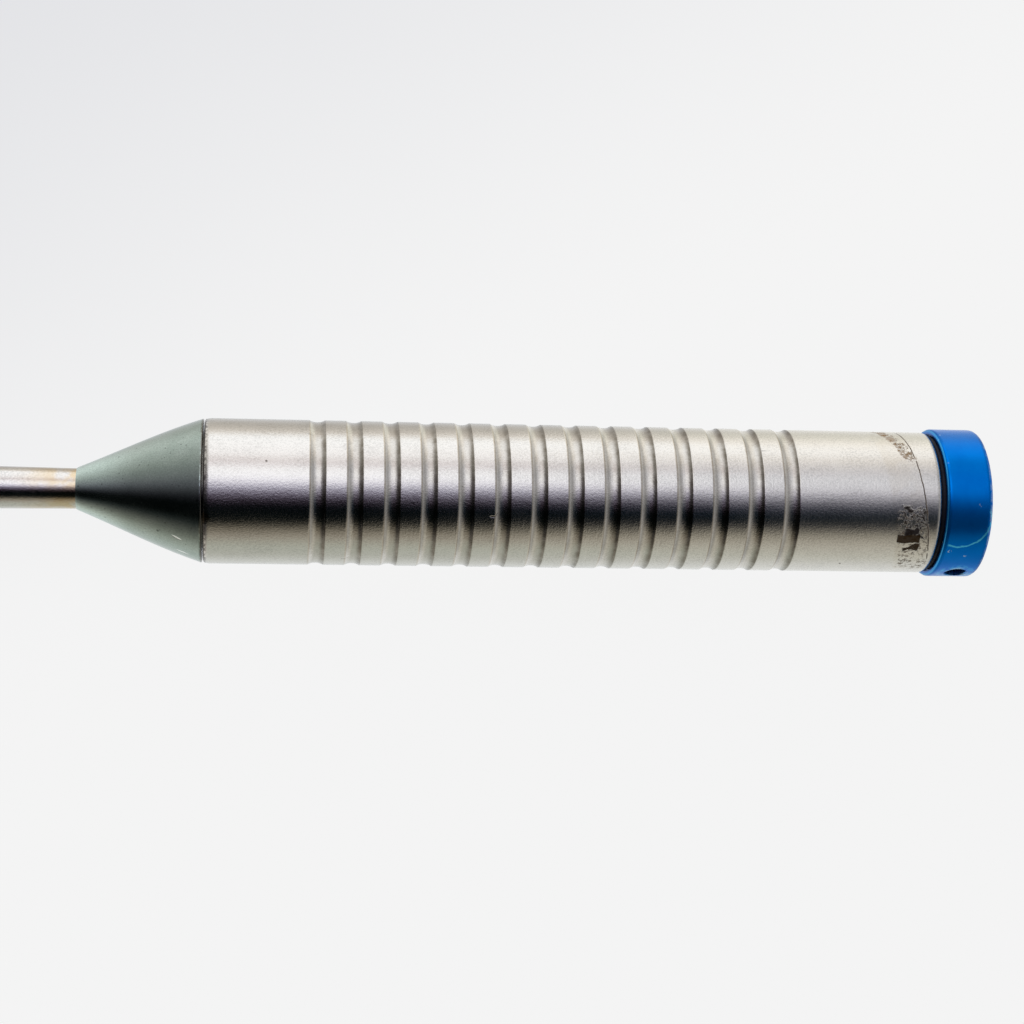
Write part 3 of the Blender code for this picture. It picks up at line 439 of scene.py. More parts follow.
def sleeve_material(low, high, outer, first, last):
    """The grip: satin steel, browner in the grooves with painted shade up their rear walls, and old glue near the
    rear end. first and last are the stations of the outermost grooves."""
    graph, tint = steel("sleeve_steel", STEEL_COLOUR, 0.13)
    tint = darken_grooves(graph, tint, first, last)
    tint, dirt = add_old_glue(graph, tint, high)
    # The rear third is duller than the rest
    length = high - low
    dull = graph.steps(graph.z, low + 0.66 * length, low + 0.86 * length, 0.0, 0.05)
    graph.rough = graph.plus(graph.rough, graph.product(dirt, 0.3), dull)
    # A dark speckled line of grime lies at the front edge, with a brown smudge below the middle
    from_edge = graph.minus(graph.z, low)
    speckled = graph.product(graph.steps(from_edge, 0.5 * MM, 0.1 * MM), graph.patches(2600, 0.42, 0.55))
    front = graph.most(speckled, graph.steps(from_edge, 0.2 * MM, 0.1 * MM))
    tint = graph.paint(tint, GRIME, front, 0.85)
    smudge_turn = 0.37
    off_smudge = graph.distance(graph.product(graph.minus(graph.turn, smudge_turn), outer), from_edge)
    off_smudge = graph.plus(off_smudge, graph.product(graph.noise(1500, 3), 0.8 * MM))
    tint = graph.paint(tint, OLD_OIL, graph.steps(off_smudge, 1.25 * MM, 0.85 * MM), 0.8)
    specks = graph.product(graph.spots(330, 0.05, 0.035), graph.patches(900, 0.46, 0.5, 2))
    tint = graph.paint(tint, (0.06, 0.045, 0.035), specks, 0.75)
    graph.height = graph.plus(graph.height, graph.product(dirt, 2.0))
    graph.set(Metallic=graph.minus(1.0, graph.product(dirt, 0.85)))
    return finish_steel(graph, tint)


def darken_grooves(graph, tint, first, last):
    """Each groove's floor browner, a golden-brown line on its front wall, and painted shade rising up its rear
    wall.
    """
    number = graph.math("ROUND", graph.math("DIVIDE", graph.minus(graph.z, first), PITCH))
    middle = graph.plus(graph.product(number, PITCH), first)
    # -1 at the nearest groove's front edge, 1 at its rear edge
    across = graph.math("DIVIDE", graph.minus(graph.z, middle), GROOVE_HALF)
    in_row = graph.window(graph.z, first - PITCH / 2, last + PITCH / 2, 0.05 * MM)
    patchy = graph.product(in_row, graph.spread(graph.noise(900, 4, 0.6), 0.6, 1.0))
    floor = graph.product(patchy, graph.window(across, -0.5, 0.9, 0.35))
    # Painted shade: dark rising up each groove's rear wall towards the land
    rear_wall_shade = graph.product(patchy, graph.steps(across, 0.1, 0.95), graph.steps(across, 1.06, 0.96))
    front_wall = graph.product(patchy, graph.window(across, -1.0, -0.88, 0.1))
    tint = graph.paint(tint, (0.3, 0.25, 0.18), floor, 0.3)
    tint = graph.paint(tint, (0.09, 0.07, 0.045), rear_wall_shade, 0.8)
    return graph.paint(tint, (0.28, 0.2, 0.1), front_wall, 0.45)


GLUE_FILM, GLUE_GOLD, GLUE_BROWN = (0.46, 0.37, 0.24), (0.27, 0.14, 0.03), (0.13, 0.075, 0.03)
GLUE_CRUST, GLUE_EDGE, GLUE_BAR = (0.012, 0.006, 0.006), (0.1, 0.055, 0.025), (0.045, 0.022, 0.004)


def add_old_glue(graph, tint, high):
    """What a sticker left behind at the rear end: golden crumbs, a dark crust, two bars and a thin edge line.
    Returns the new colour and where the dirt lies. Places are in mm from the rear end and degrees of turn."""
    rear = graph.math("DIVIDE", graph.minus(high, graph.z), MM)
    slant = graph.plus(rear, graph.product(graph.turn, 1.26))
    wobble = graph.wobble(900, 0.9, rough=0.6)
    degrees = graph.product(graph.turn, 180 / math.pi)
    ragged = graph.plus(degrees, graph.product(wobble, 22))
    slanted = graph.plus(slant, wobble)
    crumbs = graph.patches(2300, 0.5, 0.6, 4, 0.7)
    coarse = graph.patches(1100, 0.46, 0.56, 4, 0.65, 0.8)

    def patch(along, from_rear, rear_soft, around, turns, turn_soft):
        return graph.product(graph.window(along, *from_rear, rear_soft),
                             graph.window(around, *turns, turn_soft))

    edge = graph.plus(slant, graph.product(wobble, 0.25))
    edge_line = graph.product(patch(edge, (1.84, 1.9), 0.05, degrees, (-76, 52), 2),
                              graph.patches(700, 0.32, 0.45))
    crust = graph.product(patch(slanted, (2.2, 4.4), 0.3, ragged, (4, 28), 4), coarse)
    dots = graph.product(patch(slanted, (2.2, 5.0), 0.5, ragged, (12, 62), 8), crumbs,
                         graph.patches(640, 0.38, 0.52))
    thick_bar = patch(graph.plus(rear, graph.product(wobble, 0.4)), (2.2, 4.7), 0.12,
                      graph.plus(degrees, graph.product(wobble, 5)), (27.5, 34), 0.8)
    thin_bar = patch(graph.plus(rear, wobble), (2.2, 3.8), 0.15,
                     graph.plus(ragged, graph.product(rear, -1.5)), (33.5, 37.5), 1.0)
    gold_path = graph.plus(slanted, graph.product(graph.turn, 1.9))
    gold = graph.product(patch(gold_path, (0.7, 1.7), 0.4, ragged, (-80, -38), 4),
                         graph.most(crumbs, graph.product(coarse, 0.6)))
    far_side = graph.product(graph.window(slanted, 2.5, 4.5, 0.4),
                             graph.steps(graph.math("ABSOLUTE", degrees), 118, 130), crumbs, coarse)
    film = graph.product(patch(slant, (1.9, 5.4), 0.5, degrees, (-70, 66), 6),
                         graph.patches(500, 0.3, 0.6))
    tint = graph.paint(tint, GLUE_FILM, film, 0.14)
    tint = graph.paint(tint, GLUE_GOLD, gold, 0.85)
    tint = graph.paint(tint, GLUE_BROWN, graph.most(dots, far_side), 0.75)
    tint = graph.paint(tint, GLUE_CRUST, crust, 0.95)
    tint = graph.paint(tint, GLUE_EDGE, edge_line, 0.85)
    tint = graph.paint(tint, GLUE_BAR, graph.most(thick_bar, thin_bar), 0.95)
    return tint, graph.most(gold, crust, thick_bar, thin_bar, graph.product(dots, 0.5), edge_line)


def neck_material(rear):
    """Bright steel with a straw-coloured heat tint next to the cone."""
    graph, tint = steel("neck_steel", (0.66, 0.63, 0.6), 0.15, 0.8)
    near = graph.minus(rear, graph.z)
    straw = graph.product(graph.steps(near, 7.5 * MM, 0.3 * MM), graph.patches(500, 0.25, 0.6, 4))
    return finish_steel(graph, graph.paint(tint, (0.62, 0.44, 0.2), straw, 0.65))


CONE_DARK, CONE_PALE, CONE_NOSE_REFLECTION = (0.36, 0.43, 0.39), (0.43, 0.5, 0.46), (0.6, 0.72, 0.68)
CONE_GRAIN, CONE_SPECK, CONE_GRIME = (0.1, 0.12, 0.11), (0.07, 0.075, 0.07), (0.07, 0.04, 0.03)
BARE_METAL = (0.9, 0.92, 0.9)


def cone_material(base):
    """Grey-green anodising, satin, with small nicks down to bright metal and dark specks."""
    graph = Graph("grey_green_anodised")
    rings = graph.turned_grain(0.5)
    cloud = graph.noise(330, 5, 0.6)
    grain = graph.noise(6500, 3, 0.65)
    tint = graph.mix(graph.spread(cloud), CONE_DARK, CONE_PALE)
    # Painted reflection: the colour is lightened towards the nose
    tint = graph.paint(tint, CONE_NOSE_REFLECTION, graph.steps(graph.z, base - 6.5 * MM, base - 12 * MM), 0.75)
    tint = graph.paint(tint, CONE_GRAIN, graph.spread(grain, 0.3, 0.0))
    nicks = graph.scratches(420, 0.17, 0.06, (0.9, 2.6))
    specks = graph.most(
        graph.product(graph.spots(520, 0.1, 0.06, (5, 2, 7)), graph.patches(820, 0.5, 0.54, 2)),
        graph.product(graph.spots(1500, 0.16, 0.1, (1, 8, 3)), graph.patches(500, 0.48, 0.56, 2)))
    to_base = graph.minus(base, graph.z)
    rim = graph.product(graph.steps(to_base, 0.32 * MM, 0.08 * MM), graph.patches(1800, 0.4, 0.5))
    rim = graph.most(rim, graph.steps(to_base, 0.17 * MM, 0.1 * MM))
    bare = graph.product(graph.window(to_base, 0.2 * MM, 0.28 * MM, 0.06 * MM),
                         graph.patches(1300, 0.66, 0.72))
    tint = graph.paint(tint, CONE_SPECK, specks, 0.6)
    tint = graph.paint(tint, CONE_GRIME, rim, 0.75)
    tint = graph.paint(tint, BARE_METAL, graph.most(nicks, bare))
    height = graph.minus(graph.plus(graph.product(rings, 0.6), grain), graph.product(nicks, 3.0))
    graph.set(Base_Color=tint, Metallic=1.0, Roughness=graph.spread(cloud, 0.15, 0.19),
              Normal=graph.bump(height, 0.4, 0.013 * MM), Specular_IOR_Level=0.0)
    return graph.material


CAP_DARK, CAP_BRIGHT, CAP_SHADED = (0.0, 0.155, 0.6), (0.0, 0.18, 0.66), (0.0, 0.012, 0.08)
CAP_THIN, CAP_WORN = (0.1, 0.62, 0.95), (0.6, 0.75, 0.85)


def cap_material(front, rear, outer, hole_radius):
    """Blue anodising, worn pale at its rims, round the cross hole and along scratches; painted highlight on the
    front rim.
    """
    graph = Graph("blue_anodised")
    cloud = graph.noise(380, 5, 0.6)
    rings = graph.turned_grain(0.5)
    grain = graph.noise(6500, 3, 0.6)
    tint = graph.mix(graph.spread(cloud), CAP_DARK, CAP_BRIGHT)
    from_hole = graph.distance(graph.y, graph.minus(graph.z, (front + rear) / 2))
    ragged = graph.plus(from_hole, graph.wobble(1100, 0.7 * MM))
    on_side = graph.steps(graph.radius, outer - 0.4 * MM, outer - 0.15 * MM)
    ring = graph.window(ragged, hole_radius + 0.05 * MM, hole_radius + 0.2 * MM, 0.2 * MM)
    halo = graph.window(ragged, hole_radius, hole_radius + 0.7 * MM, 0.5 * MM)
    inside = graph.steps(graph.radius, outer - 0.3 * MM, outer - 0.7 * MM)
    patchy = graph.patches(900, 0.42, 0.62, 4, 0.65)
    rear_rim = graph.product(graph.window(graph.z, rear - 0.32 * MM, rear - 0.12 * MM, 0.12 * MM),
                             graph.steps(graph.radius, outer - 0.5 * MM, outer - 0.3 * MM), patchy)
    lip = front - SKIRT
    # Pale line on the front rim's chamfer: edge wear and a painted highlight
    front_rim_wear_and_highlight = graph.product(graph.window(graph.z, lip + 0.02 * MM, lip + 0.1 * MM, 0.06 * MM), on_side)
    arc = long_scratch(graph, graph.product(graph.turn, outer), front)
    small = graph.scratches(560, 0.1, 0.04, (0.5, 1.5, 2.7))
    nicks = graph.most(graph.spots(420, 0.13, 0.08, (1, 3, 7)), graph.spots(420, 0.13, 0.08, (4, 12, 7)))
    nicks = graph.product(nicks, graph.patches(1900, 0.5, 0.56))
    worn = graph.most(graph.product(ring, on_side, patchy, 0.6), graph.product(rear_rim, 0.5), nicks)
    pale = graph.most(graph.product(halo, on_side, patchy, 0.5), arc, graph.product(small, 0.6),
                      graph.product(front_rim_wear_and_highlight, 0.5))
    tint = graph.paint(tint, CAP_THIN, pale, 0.8)
    tint = graph.paint(tint, CAP_WORN, worn, 0.75)
    tint = graph.paint(tint, CAP_SHADED, inside, 0.8)
    rough = graph.plus(graph.spread(cloud, 0.17, 0.22), graph.product(worn, 0.2))
    height = graph.plus(graph.product(rings, 0.5), grain)
    height = graph.minus(height, graph.product(graph.most(worn, pale), 2.0))
    graph.set(Base_Color=tint, Metallic=0.68, Roughness=rough, Normal=graph.bump(height, 0.2, 0.003 * MM),
              Specular_IOR_Level=0.0)
    return graph.material


def long_scratch(graph, along, front):
    """One long curved scratch beside the hole: part of a circle on the unrolled side of the cap."""
    centre = (-8.6 * MM, front + 1.3 * MM)
    off_centre = graph.distance(graph.minus(along, centre[0]), graph.minus(graph.z, centre[1]))
    off_centre = graph.plus(off_centre, graph.wobble(1500, 0.35 * MM, 3))
    return graph.product(graph.window(off_centre, 3.34 * MM, 3.46 * MM, 0.1 * MM),
                         graph.steps(along, -9.9 * MM, -9.4 * MM),
                         graph.steps(graph.z, front, front + 0.4 * MM), graph.patches(1700, 0.3, 0.45))


def rubber_material():
    graph = Graph("black_rubber")
    grain = graph.noise(3500, 4, 0.6)
    tint = graph.mix(graph.spread(graph.noise(600, 3)), (0.008, 0.009, 0.018), (0.02, 0.02, 0.03))
    graph.set(Base_Color=tint, Roughness=graph.spread(grain, 0.5, 0.7),
              Normal=graph.bump(grain, 0.3, 0.005 * MM), Specular_IOR_Level=0.2)
    return graph.material


BRONZE_COLOUR = (0.55, 0.38, 0.2)
POLISHED_COLOUR = (0.66, 0.64, 0.61)


def metal_material(name, colour, roughness):
    """Machined metal: turned grain, clouding and a little oil."""
    graph, tint = steel(name, colour, roughness, 0.8, 0.5)
    oil = graph.patches(450, 0.5, 0.7)
    return finish_steel(graph, graph.paint(tint, tuple(0.6 * c for c in colour), oil, 0.2))


def show(piece, body, slot, material, *nodes):
    """Puts a piece's place into its mesh, and gives it its material and body. The slot argument is not used."""
    set_frame(material, piece.matrix_world)
    piece.data.transform(piece.matrix_world)
    piece.matrix_world = Matrix.Identity(4)
    piece.data.materials.clear()
    piece.data.materials.append(material)
    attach(piece, body)
    if nodes:
        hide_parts(*nodes)


# ---------------------------------------------------------------- grip sleeve

def make_sleeve():
    """The outer tube with its shallow hollow grooves, and the bore behind."""
    low, high, bore, outer = span("grip_sleeve", handle_frame)
    middles = [low + FIRST_GROOVE + number * PITCH for number in range(GROOVES)]
    profile = [(low, bore), (low, outer - 0.22 * MM), (low + 0.1 * MM, outer - 0.09 * MM),
               (low + 0.6 * MM, outer)]
    for middle in middles:
        profile += groove(middle, outer)
    profile += [(high - 0.45 * MM, outer), (high - 0.08 * MM, outer - 0.07 * MM), (high, outer - 0.2 * MM),
                (high, bore)]
    sleeve = lathe("grip_sleeve_steel", profile, handle_frame, segments=224, sharp=60)
    material = sleeve_material(low, high, outer, middles[0], middles[-1])
    show(sleeve, "handle", "satin_steel", material, "grip_sleeve")


def groove(middle, outer):
    """A shallow hollow whose edges run out softly into the land on either side."""
    steps = 22
    points = []
    for i in range(steps + 1):
        t = 2 * i / steps - 1
        hollow = (1 - abs(t) ** 2.5) ** (1.3 if t < 0 else 0.95)
        points.append((middle + t * GROOVE_HALF, outer - GROOVE_DEPTH * hollow))
    return points


# ---------------------------------------------------------------- cone and neck

def make_cone():
    low, high, _, outer = span("nose_cone", handle_frame)
    rear_face = span("grip_sleeve", handle_frame)[0] - 0.15 * MM
    bore, nose, boss = 2.25 * MM, 2.3 * MM, 6.3 * MM
    recess, recess_floor = bore + 2.9 * MM, high - 5 * MM
    swell, steps = 0.19 * MM, 40
    profile = [(low, bore), (low, bore + 0.02 * MM)]
    for i in range(steps):
        part = 0.02 + 0.98 * i / steps
        # part ** 2 * (1 - part) is largest at 4 / 27
        radius = nose + (outer - nose) * part + swell * part ** 2 * (1 - part) * 27 / 4
        profile.append((low + (rear_face - low) * part, radius))
    profile += [(rear_face - 0.12 * MM, outer - 0.02 * MM), (rear_face - 0.03 * MM, outer - 0.06 * MM),
                (rear_face, outer - 0.16 * MM), (rear_face, boss), (high, boss), (high, recess),
                (recess_floor, recess), (recess_floor, bore)]
    cone = lathe("nose_cone_shell", profile, handle_frame, segments=176, sharp=50)
    show(cone, "root", "grey_green_anodised", cone_material(rear_face), "nose_cone")


def make_neck():
    low, high, bore, _ = span("neck_tube", handle_frame)
    nose = span("nose_cone", handle_frame)[0]
    rear_radius, front_radius, spigot = 2.21 * MM, 2.46 * MM, 2.26 * MM
    shoulder = CORNER.x + 4.7 * MM
    profile = [(low, bore), (low, spigot), (shoulder, spigot), (shoulder, front_radius),
               (nose, rear_radius), (high, rear_radius), (high, bore)]
    neck = lathe("neck_tube_steel", rounded(profile, 0.06 * MM, 4), handle_frame, segments=112)
    show(neck, "root", "polished_steel", neck_material(nose), "neck_tube")


def make_union_nut():
    """The lock ring at the elbow, fluted for the fingers."""
    low, high, bore, outer = span("union_nut", handle_frame)
    middle, half = (low + high) / 2, (high - low) / 2
    flute_count = 14

    def flutes(turn, station, radius):
        if radius < outer - 0.3 * MM:
            return radius
        reach = max(0.0, 1 - (abs(station - middle) / (half * 0.72)) ** 4)
        dip = max(0.0, math.cos(flute_count * turn)) ** 3
        return radius - 0.2 * MM * dip * reach

    rows = 14
    profile = [(low, bore), (low, outer - 0.16 * MM), (low + 0.05 * MM, outer - 0.05 * MM)]
    profile += [(low + (high - low) * i / rows, outer) for i in range(1, rows)]
    profile += [(high - 0.05 * MM, outer - 0.05 * MM), (high, outer - 0.16 * MM), (high, bore)]
    nut = lathe("union_nut_steel", profile, handle_frame, segments=224, shape=flutes, sharp=55)
    show(nut, "root", "polished_steel", metal_material("union_steel", (0.62, 0.6, 0.57), 0.2), "union_nut")


# ---------------------------------------------------------------- elbow

ELBOW_REACH = 4.6 * MM   # from the bend's corner to either end of the elbow


def make_elbow():
    """The bent tube between the neck and the head, with rolled rims at both ends."""
    outer, inner, arc = 2.9 * MM, 2.3 * MM, 9.0 * MM
    straight_rows, bend_rows, segments = 10, 12, 96
    bend = math.pi - HANDLE_DIRECTION.angle(FORWARD)
    tangent = arc * math.tan(bend / 2)
    centre = CORNER + (HANDLE_DIRECTION + FORWARD).normalized() * (arc / math.cos(bend / 2))
    first = CORNER + HANDLE_DIRECTION * tangent - centre
    last = CORNER + FORWARD * tangent - centre
    plane = first.cross(last).normalized()
    row = (ELBOW_REACH - tangent) / straight_rows
    stations = []
    for i in range(straight_rows):
        stations.append((CORNER + HANDLE_DIRECTION * (ELBOW_REACH - row * i), -HANDLE_DIRECTION))
    for i in range(bend_rows + 1):
        turn = Matrix.Rotation(bend * i / bend_rows, 3, plane)
        stations.append((centre + turn @ first, turn @ -HANDLE_DIRECTION))
    for i in range(1, straight_rows + 1):
        stations.append((CORNER + FORWARD * (tangent + row * i), FORWARD))
    ends = len(stations) - 1

    def outside(index):
        """The rims' edges are eased, and each has a groove behind it."""
        dips = (0.14, 0.02, 0.0, 0.12)
        end = min(index, ends - index)
        return outer - dips[end] * MM if end < len(dips) else outer

    verts, faces = [], []
    order = [(i, outside(i)) for i in range(ends + 1)] + [(i, inner) for i in range(ends, -1, -1)]
    for index, radius in order:
        point, along = stations[index]
        other = along.cross(plane)
        for i in range(segments):
            turn = 2 * math.pi * i / segments
            verts.append(tuple(point + (plane * math.cos(turn) + other * math.sin(turn)) * radius))
    for ring in range(len(order)):
        a, b = ring * segments, (ring + 1) % len(order) * segments
        for i in range(segments):
            j = (i + 1) % segments
            faces.append((a + i, a + j, b + j, b + i))
    mesh = closed_mesh("elbow_housing_steel", verts, faces, 50)
    mesh.transform(handle_frame.inverted())
    elbow = link("elbow_housing_steel", mesh, handle_frame)
    metal = metal_material("elbow_steel", POLISHED_COLOUR, 0.17)
    show(elbow, "root", "polished_steel", metal, "elbow_housing")


# ---------------------------------------------------------------- head

def make_head():
    """Barrel and neck root melted into one smooth form, then bored at both ends."""
    high = span("head_housing", work_frame)[1]
    outer = span("back_cap", back_frame)[3] - 0.06 * MM
    gap = 0.03 * MM
    mouth_bore = span("head_lower_bush", work_frame)[3] + gap
    cavity = span("head_upper_bush", back_frame)[3] + gap
    cavity_end = 3.2 * MM
    back = -span("back_cap", back_frame)[1] + 2.35 * MM
    mouth = high - 0.12 * MM
    barrel = [(back, 0), (back, outer), (high - 3.6 * MM, outer), (high - 0.9 * MM, 3.42 * MM),
              (mouth, 3.12 * MM), (mouth, 0)]
    body = lathe("head_housing_steel", barrel, work_frame, segments=120, closed=False)
    shoulder = (CORNER - HEAD_CENTRE).length - ELBOW_REACH - 0.1 * MM
    neck = [(0.5 * MM, 0), (0.5 * MM, 3.5 * MM), (4.6 * MM, 3.42 * MM), (7.4 * MM, 2.98 * MM),
            (shoulder - 0.1 * MM, 2.76 * MM), (shoulder, 2.68 * MM), (shoulder, 0)]
    cut(body, lathe("neck_root", neck, neck_frame, segments=120, closed=False), "UNION")
    remesh = body.modifiers.new("voxels", "REMESH")
    remesh.mode = "VOXEL"
    remesh.voxel_size = 0.11 * MM
    smooth = body.modifiers.new("soften", "SMOOTH")
    smooth.factor = 0.5
    smooth.iterations = 14
    apply_modifiers(body)
    bores = [(back - MM, 0), (back - MM, cavity), (cavity_end, cavity), (cavity_end, mouth_bore),
             (high + MM, mouth_bore), (high + MM, 0)]
    cut(body, lathe("cavity", bores, work_frame, 96, closed=False))
    past_mouth = [(high, 0), (high, 9 * MM), (high + 2 * MM, 9 * MM), (high + 2 * MM, 0)]
    cut(body, lathe("mouth_trim", past_mouth, work_frame, 48, closed=False))
    body.data.shade_smooth()
    body.data.set_sharp_from_angle(angle=math.radians(50))
    metal = metal_material("head_steel", POLISHED_COLOUR, 0.17)
    show(body, "root", "polished_steel", metal, "head_housing")


def make_back_cap():
    """The screwed ring that holds the button, fluted round its side."""
    low, high, bore, outer = span("back_cap", back_frame)
    start, lip = low + 0.4 * MM, high - 0.6 * MM
    inner = span("push_button", back_frame)[3] + 0.1 * MM
    flute_count, flute_depth = 24, 0.13 * MM

    def flutes(turn, station, radius):
        if radius < outer - 0.2 * MM or station > high - 0.75 * MM or station < start + 0.3 * MM:
            return radius
        return radius - flute_depth * max(0.0, math.cos(flute_count * turn)) ** 2

    profile = [(start, inner), (start, outer - 0.1 * MM), (start + 0.1 * MM, outer),
               (start + 0.28 * MM, outer)]
    profile += [(start + (0.32 + 0.1 * i) * MM, outer) for i in range(10)]
    profile += [(high - 0.7 * MM, outer), (high - 0.5 * MM, outer - 0.03 * MM),
                (high - 0.25 * MM, outer - 0.14 * MM), (high - 0.08 * MM, outer - 0.34 * MM),
                (high, outer - 0.6 * MM), (high, bore + 0.12 * MM), (high - 0.1 * MM, bore), (lip, bore),
                (lip, inner)]
    cap = lathe("back_cap_steel", profile, back_frame, segments=240, shape=flutes, sharp=50)
    metal = metal_material("back_cap_metal", (0.6, 0.58, 0.55), 0.2)
    show(cap, "root", "polished_steel", metal, "back_cap")


def make_button():
    """The button that lets the tool go, with a shallow dish for the thumb."""
    low, high, _, flange = span("push_button", back_frame)
    radius, stem = 2.25 * MM, 1.1 * MM
    flange_low, flange_high = low + 0.6 * MM, low + 0.95 * MM
    profile = [(low, 0), (low, stem - 0.15 * MM), (low + 0.15 * MM, stem), (flange_low, stem),
               (flange_low, flange), (flange_high, flange), (flange_high, radius), (high - 0.25 * MM, radius),
               (high - 0.08 * MM, radius - 0.07 * MM), (high, radius - 0.26 * MM)]
    dish, dish_depth = 8, 0.22 * MM
    for i in range(1, dish + 1):
        part = i / dish
        profile.append((high - dish_depth * (1 - (1 - part) ** 2), (radius - 0.3 * MM) * (1 - part)))
    button = lathe("push_button_steel", profile, back_frame, segments=128, closed=False, sharp=45)
    metal = metal_material("button_metal", (0.6, 0.58, 0.56), 0.24)
    show(button, "button", "polished_steel", metal, "push_button")


def short_tube(name, node, edge):
    """A plain tube as long as a CAD node of the head, with rounded edges."""
    low, high, bore, outer = span(node, work_frame)
    profile = rounded([(low, bore), (low, outer), (high, outer), (high, bore)], edge, 4)
    return lathe(name, profile, work_frame, segments=96)


def make_chuck():
    """The chuck tube with three slits at its mouth, and the bronze bush round it."""
    mouth = span("chuck_spindle", work_frame)[1]
    slits, slit_depth, slit_half = 3, 1.6 * MM, 0.07 * MM
    tube = short_tube("chuck_tube", "chuck_spindle", 0.08 * MM)
    for number in range(slits):
        turned = work_frame @ Matrix.Rotation(2 * math.pi * number / slits, 4, "Z")
        low, high = (0.3 * MM, -slit_half, mouth - slit_depth), (2.5 * MM, slit_half, mouth + MM)
        cut(tube, box_object(low, high, turned))
    metal = metal_material("chuck_metal", (0.52, 0.52, 0.53), 0.25)
    show(tube, "chuck", "gear_steel", metal, "chuck_spindle")
    bush = short_tube("mouth_bush", "head_lower_bush", 0.07 * MM)
    show(bush, "root", "bronze", metal_material("bush_metal", BRONZE_COLOUR, 0.3), "head_lower_bush")


# ---------------------------------------------------------------- torque controller

def make_controller_cap():
    """The blue cap: crowned rims, a cross hole with broken edges, and its plain boss."""
    low, rear, _, outer = span("controller_cap", cap_frame)
    front = -4.9 * MM
    boss = 5.26 * MM
    hole = 1.2 * MM
    lip = front - SKIRT
    profile = [(low, 0), (low, boss), (front, boss), (front, outer - 0.62 * MM),
               (lip, outer - 0.58 * MM), (lip, outer - 0.3 * MM),
               (lip + 0.1 * MM, outer - 0.1 * MM), (lip + 0.26 * MM, outer - 0.01 * MM),
               (lip + 0.5 * MM, outer), (rear - 0.62 * MM, outer), (rear - 0.36 * MM, outer - 0.03 * MM),
               (rear - 0.14 * MM, outer - 0.16 * MM), (rear - 0.03 * MM, outer - 0.38 * MM),
               (rear, outer - 0.62 * MM), (rear, 0.9 * MM), (rear - 0.12 * MM, 0.55 * MM),
               (rear - 0.14 * MM, 0)]
    cap = lathe("controller_cap_blue", profile, cap_frame, segments=224, closed=False, sharp=50)
    to_hole = Matrix.Translation((0, 0, (front + rear) / 2)) @ Matrix.Rotation(math.pi / 2, 4, "Y")
    edge = outer - 0.16 * MM
    spool = [(-outer - MM, 0), (-outer - MM, hole + MM), (-edge, hole), (edge, hole), (outer + MM, hole + MM),
             (outer + MM, 0)]
    cut(cap, lathe("cross_hole", spool, cap_frame @ to_hole, 72, closed=False))
    show(cap, "controller", "blue_anodised", cap_material(front, rear, outer, hole), "controller_cap")


def make_seal():
    low, high, bore, outer = span("cap_seal", cap_frame)
    middle, half = (low + high) / 2, (high - low) / 2
    steps = 14
    bulge = [(middle + half * math.sin(math.pi * (i / steps - 0.5)),
              outer - half + half * math.cos(math.pi * (i / steps - 0.5))) for i in range(steps + 1)]
    seal = lathe("cap_seal_rubber", [(low, bore)] + bulge + [(high, bore)], cap_frame, segments=144)
    show(seal, "controller", "black_rubber", rubber_material(), "cap_seal")


def make_barrel():
    """The controller's steel barrel, seen when the controller is pulled out of the grip."""
    low, high, hub_hole, outer = span("controller_barrel", handle_frame)
    bore, floor = 5.3 * MM, low + 3.5 * MM
    ring_edge, ring_floor, ring_depth = 0.3 * MM, 0.2 * MM, 0.12 * MM
    profile = [(low, hub_hole), (low, outer - 0.3 * MM), (low + 0.3 * MM, outer)]
    for from_rear in (13.4 * MM, 12.2 * MM, 11 * MM):
        middle = high - from_rear
        profile += [(middle - ring_edge, outer), (middle - ring_floor, outer - ring_depth),
                    (middle + ring_floor, outer - ring_depth), (middle + ring_edge, outer)]
    profile += [(high - 0.15 * MM, outer), (high, outer - 0.15 * MM), (high, bore), (floor, bore),
                (floor, hub_hole)]
    barrel = lathe("controller_barrel_steel", profile, handle_frame, segments=128, sharp=35)
    # Notches for the two drive dogs
    dog_frame = axis_frame((0, 0, 0), HANDLE_DIRECTION, -WORK)
    for turn in (0, math.pi):
        turned = dog_frame @ Matrix.Rotation(turn, 4, "Z")
        cut(barrel, box_object((4.9 * MM, -MM, low - MM), (9 * MM, MM, low + 2.2 * MM), turned))
    metal = metal_material("barrel_metal", (0.55, 0.54, 0.53), 0.24)
    show(barrel, "controller", "gear_steel", metal, "controller_barrel")


# ---------------------------------------------------------------- inner CAD pieces keep their shape

def dress_inner_nodes():
    """Gives every CAD piece that stays a machined-metal or rubber material by its slot."""
    slots = {row["node"]: row["material_slot"] for row in frame["record"]["subparts"]}
    made = {"bronze": metal_material("bronze_metal", BRONZE_COLOUR, 0.3), "black_rubber": rubber_material(),
            "gear_steel": metal_material("gear_metal", (0.5, 0.5, 0.5), 0.3),
            "spring_steel": metal_material("spring_metal", (0.45, 0.45, 0.46), 0.28)}
    for name, item in frame["nodes"].items():
        material = made.get(slots[name])
        if material:
            item.data.materials.clear()
            item.data.materials.append(material)


# ---------------------------------------------------------------- camera, floor and light

CAMERA_RIGHT = Vector((0.992818, 0.016626, 0.118477))
CAMERA_UP = Vector((-0.015587, 0.999831, -0.009694))
CAMERA_FROM_GROOVE, CAMERA_HEIGHT = -5.88 * MM, 232.59 * MM
LENS, SENSOR = 73.54, 36   # mm


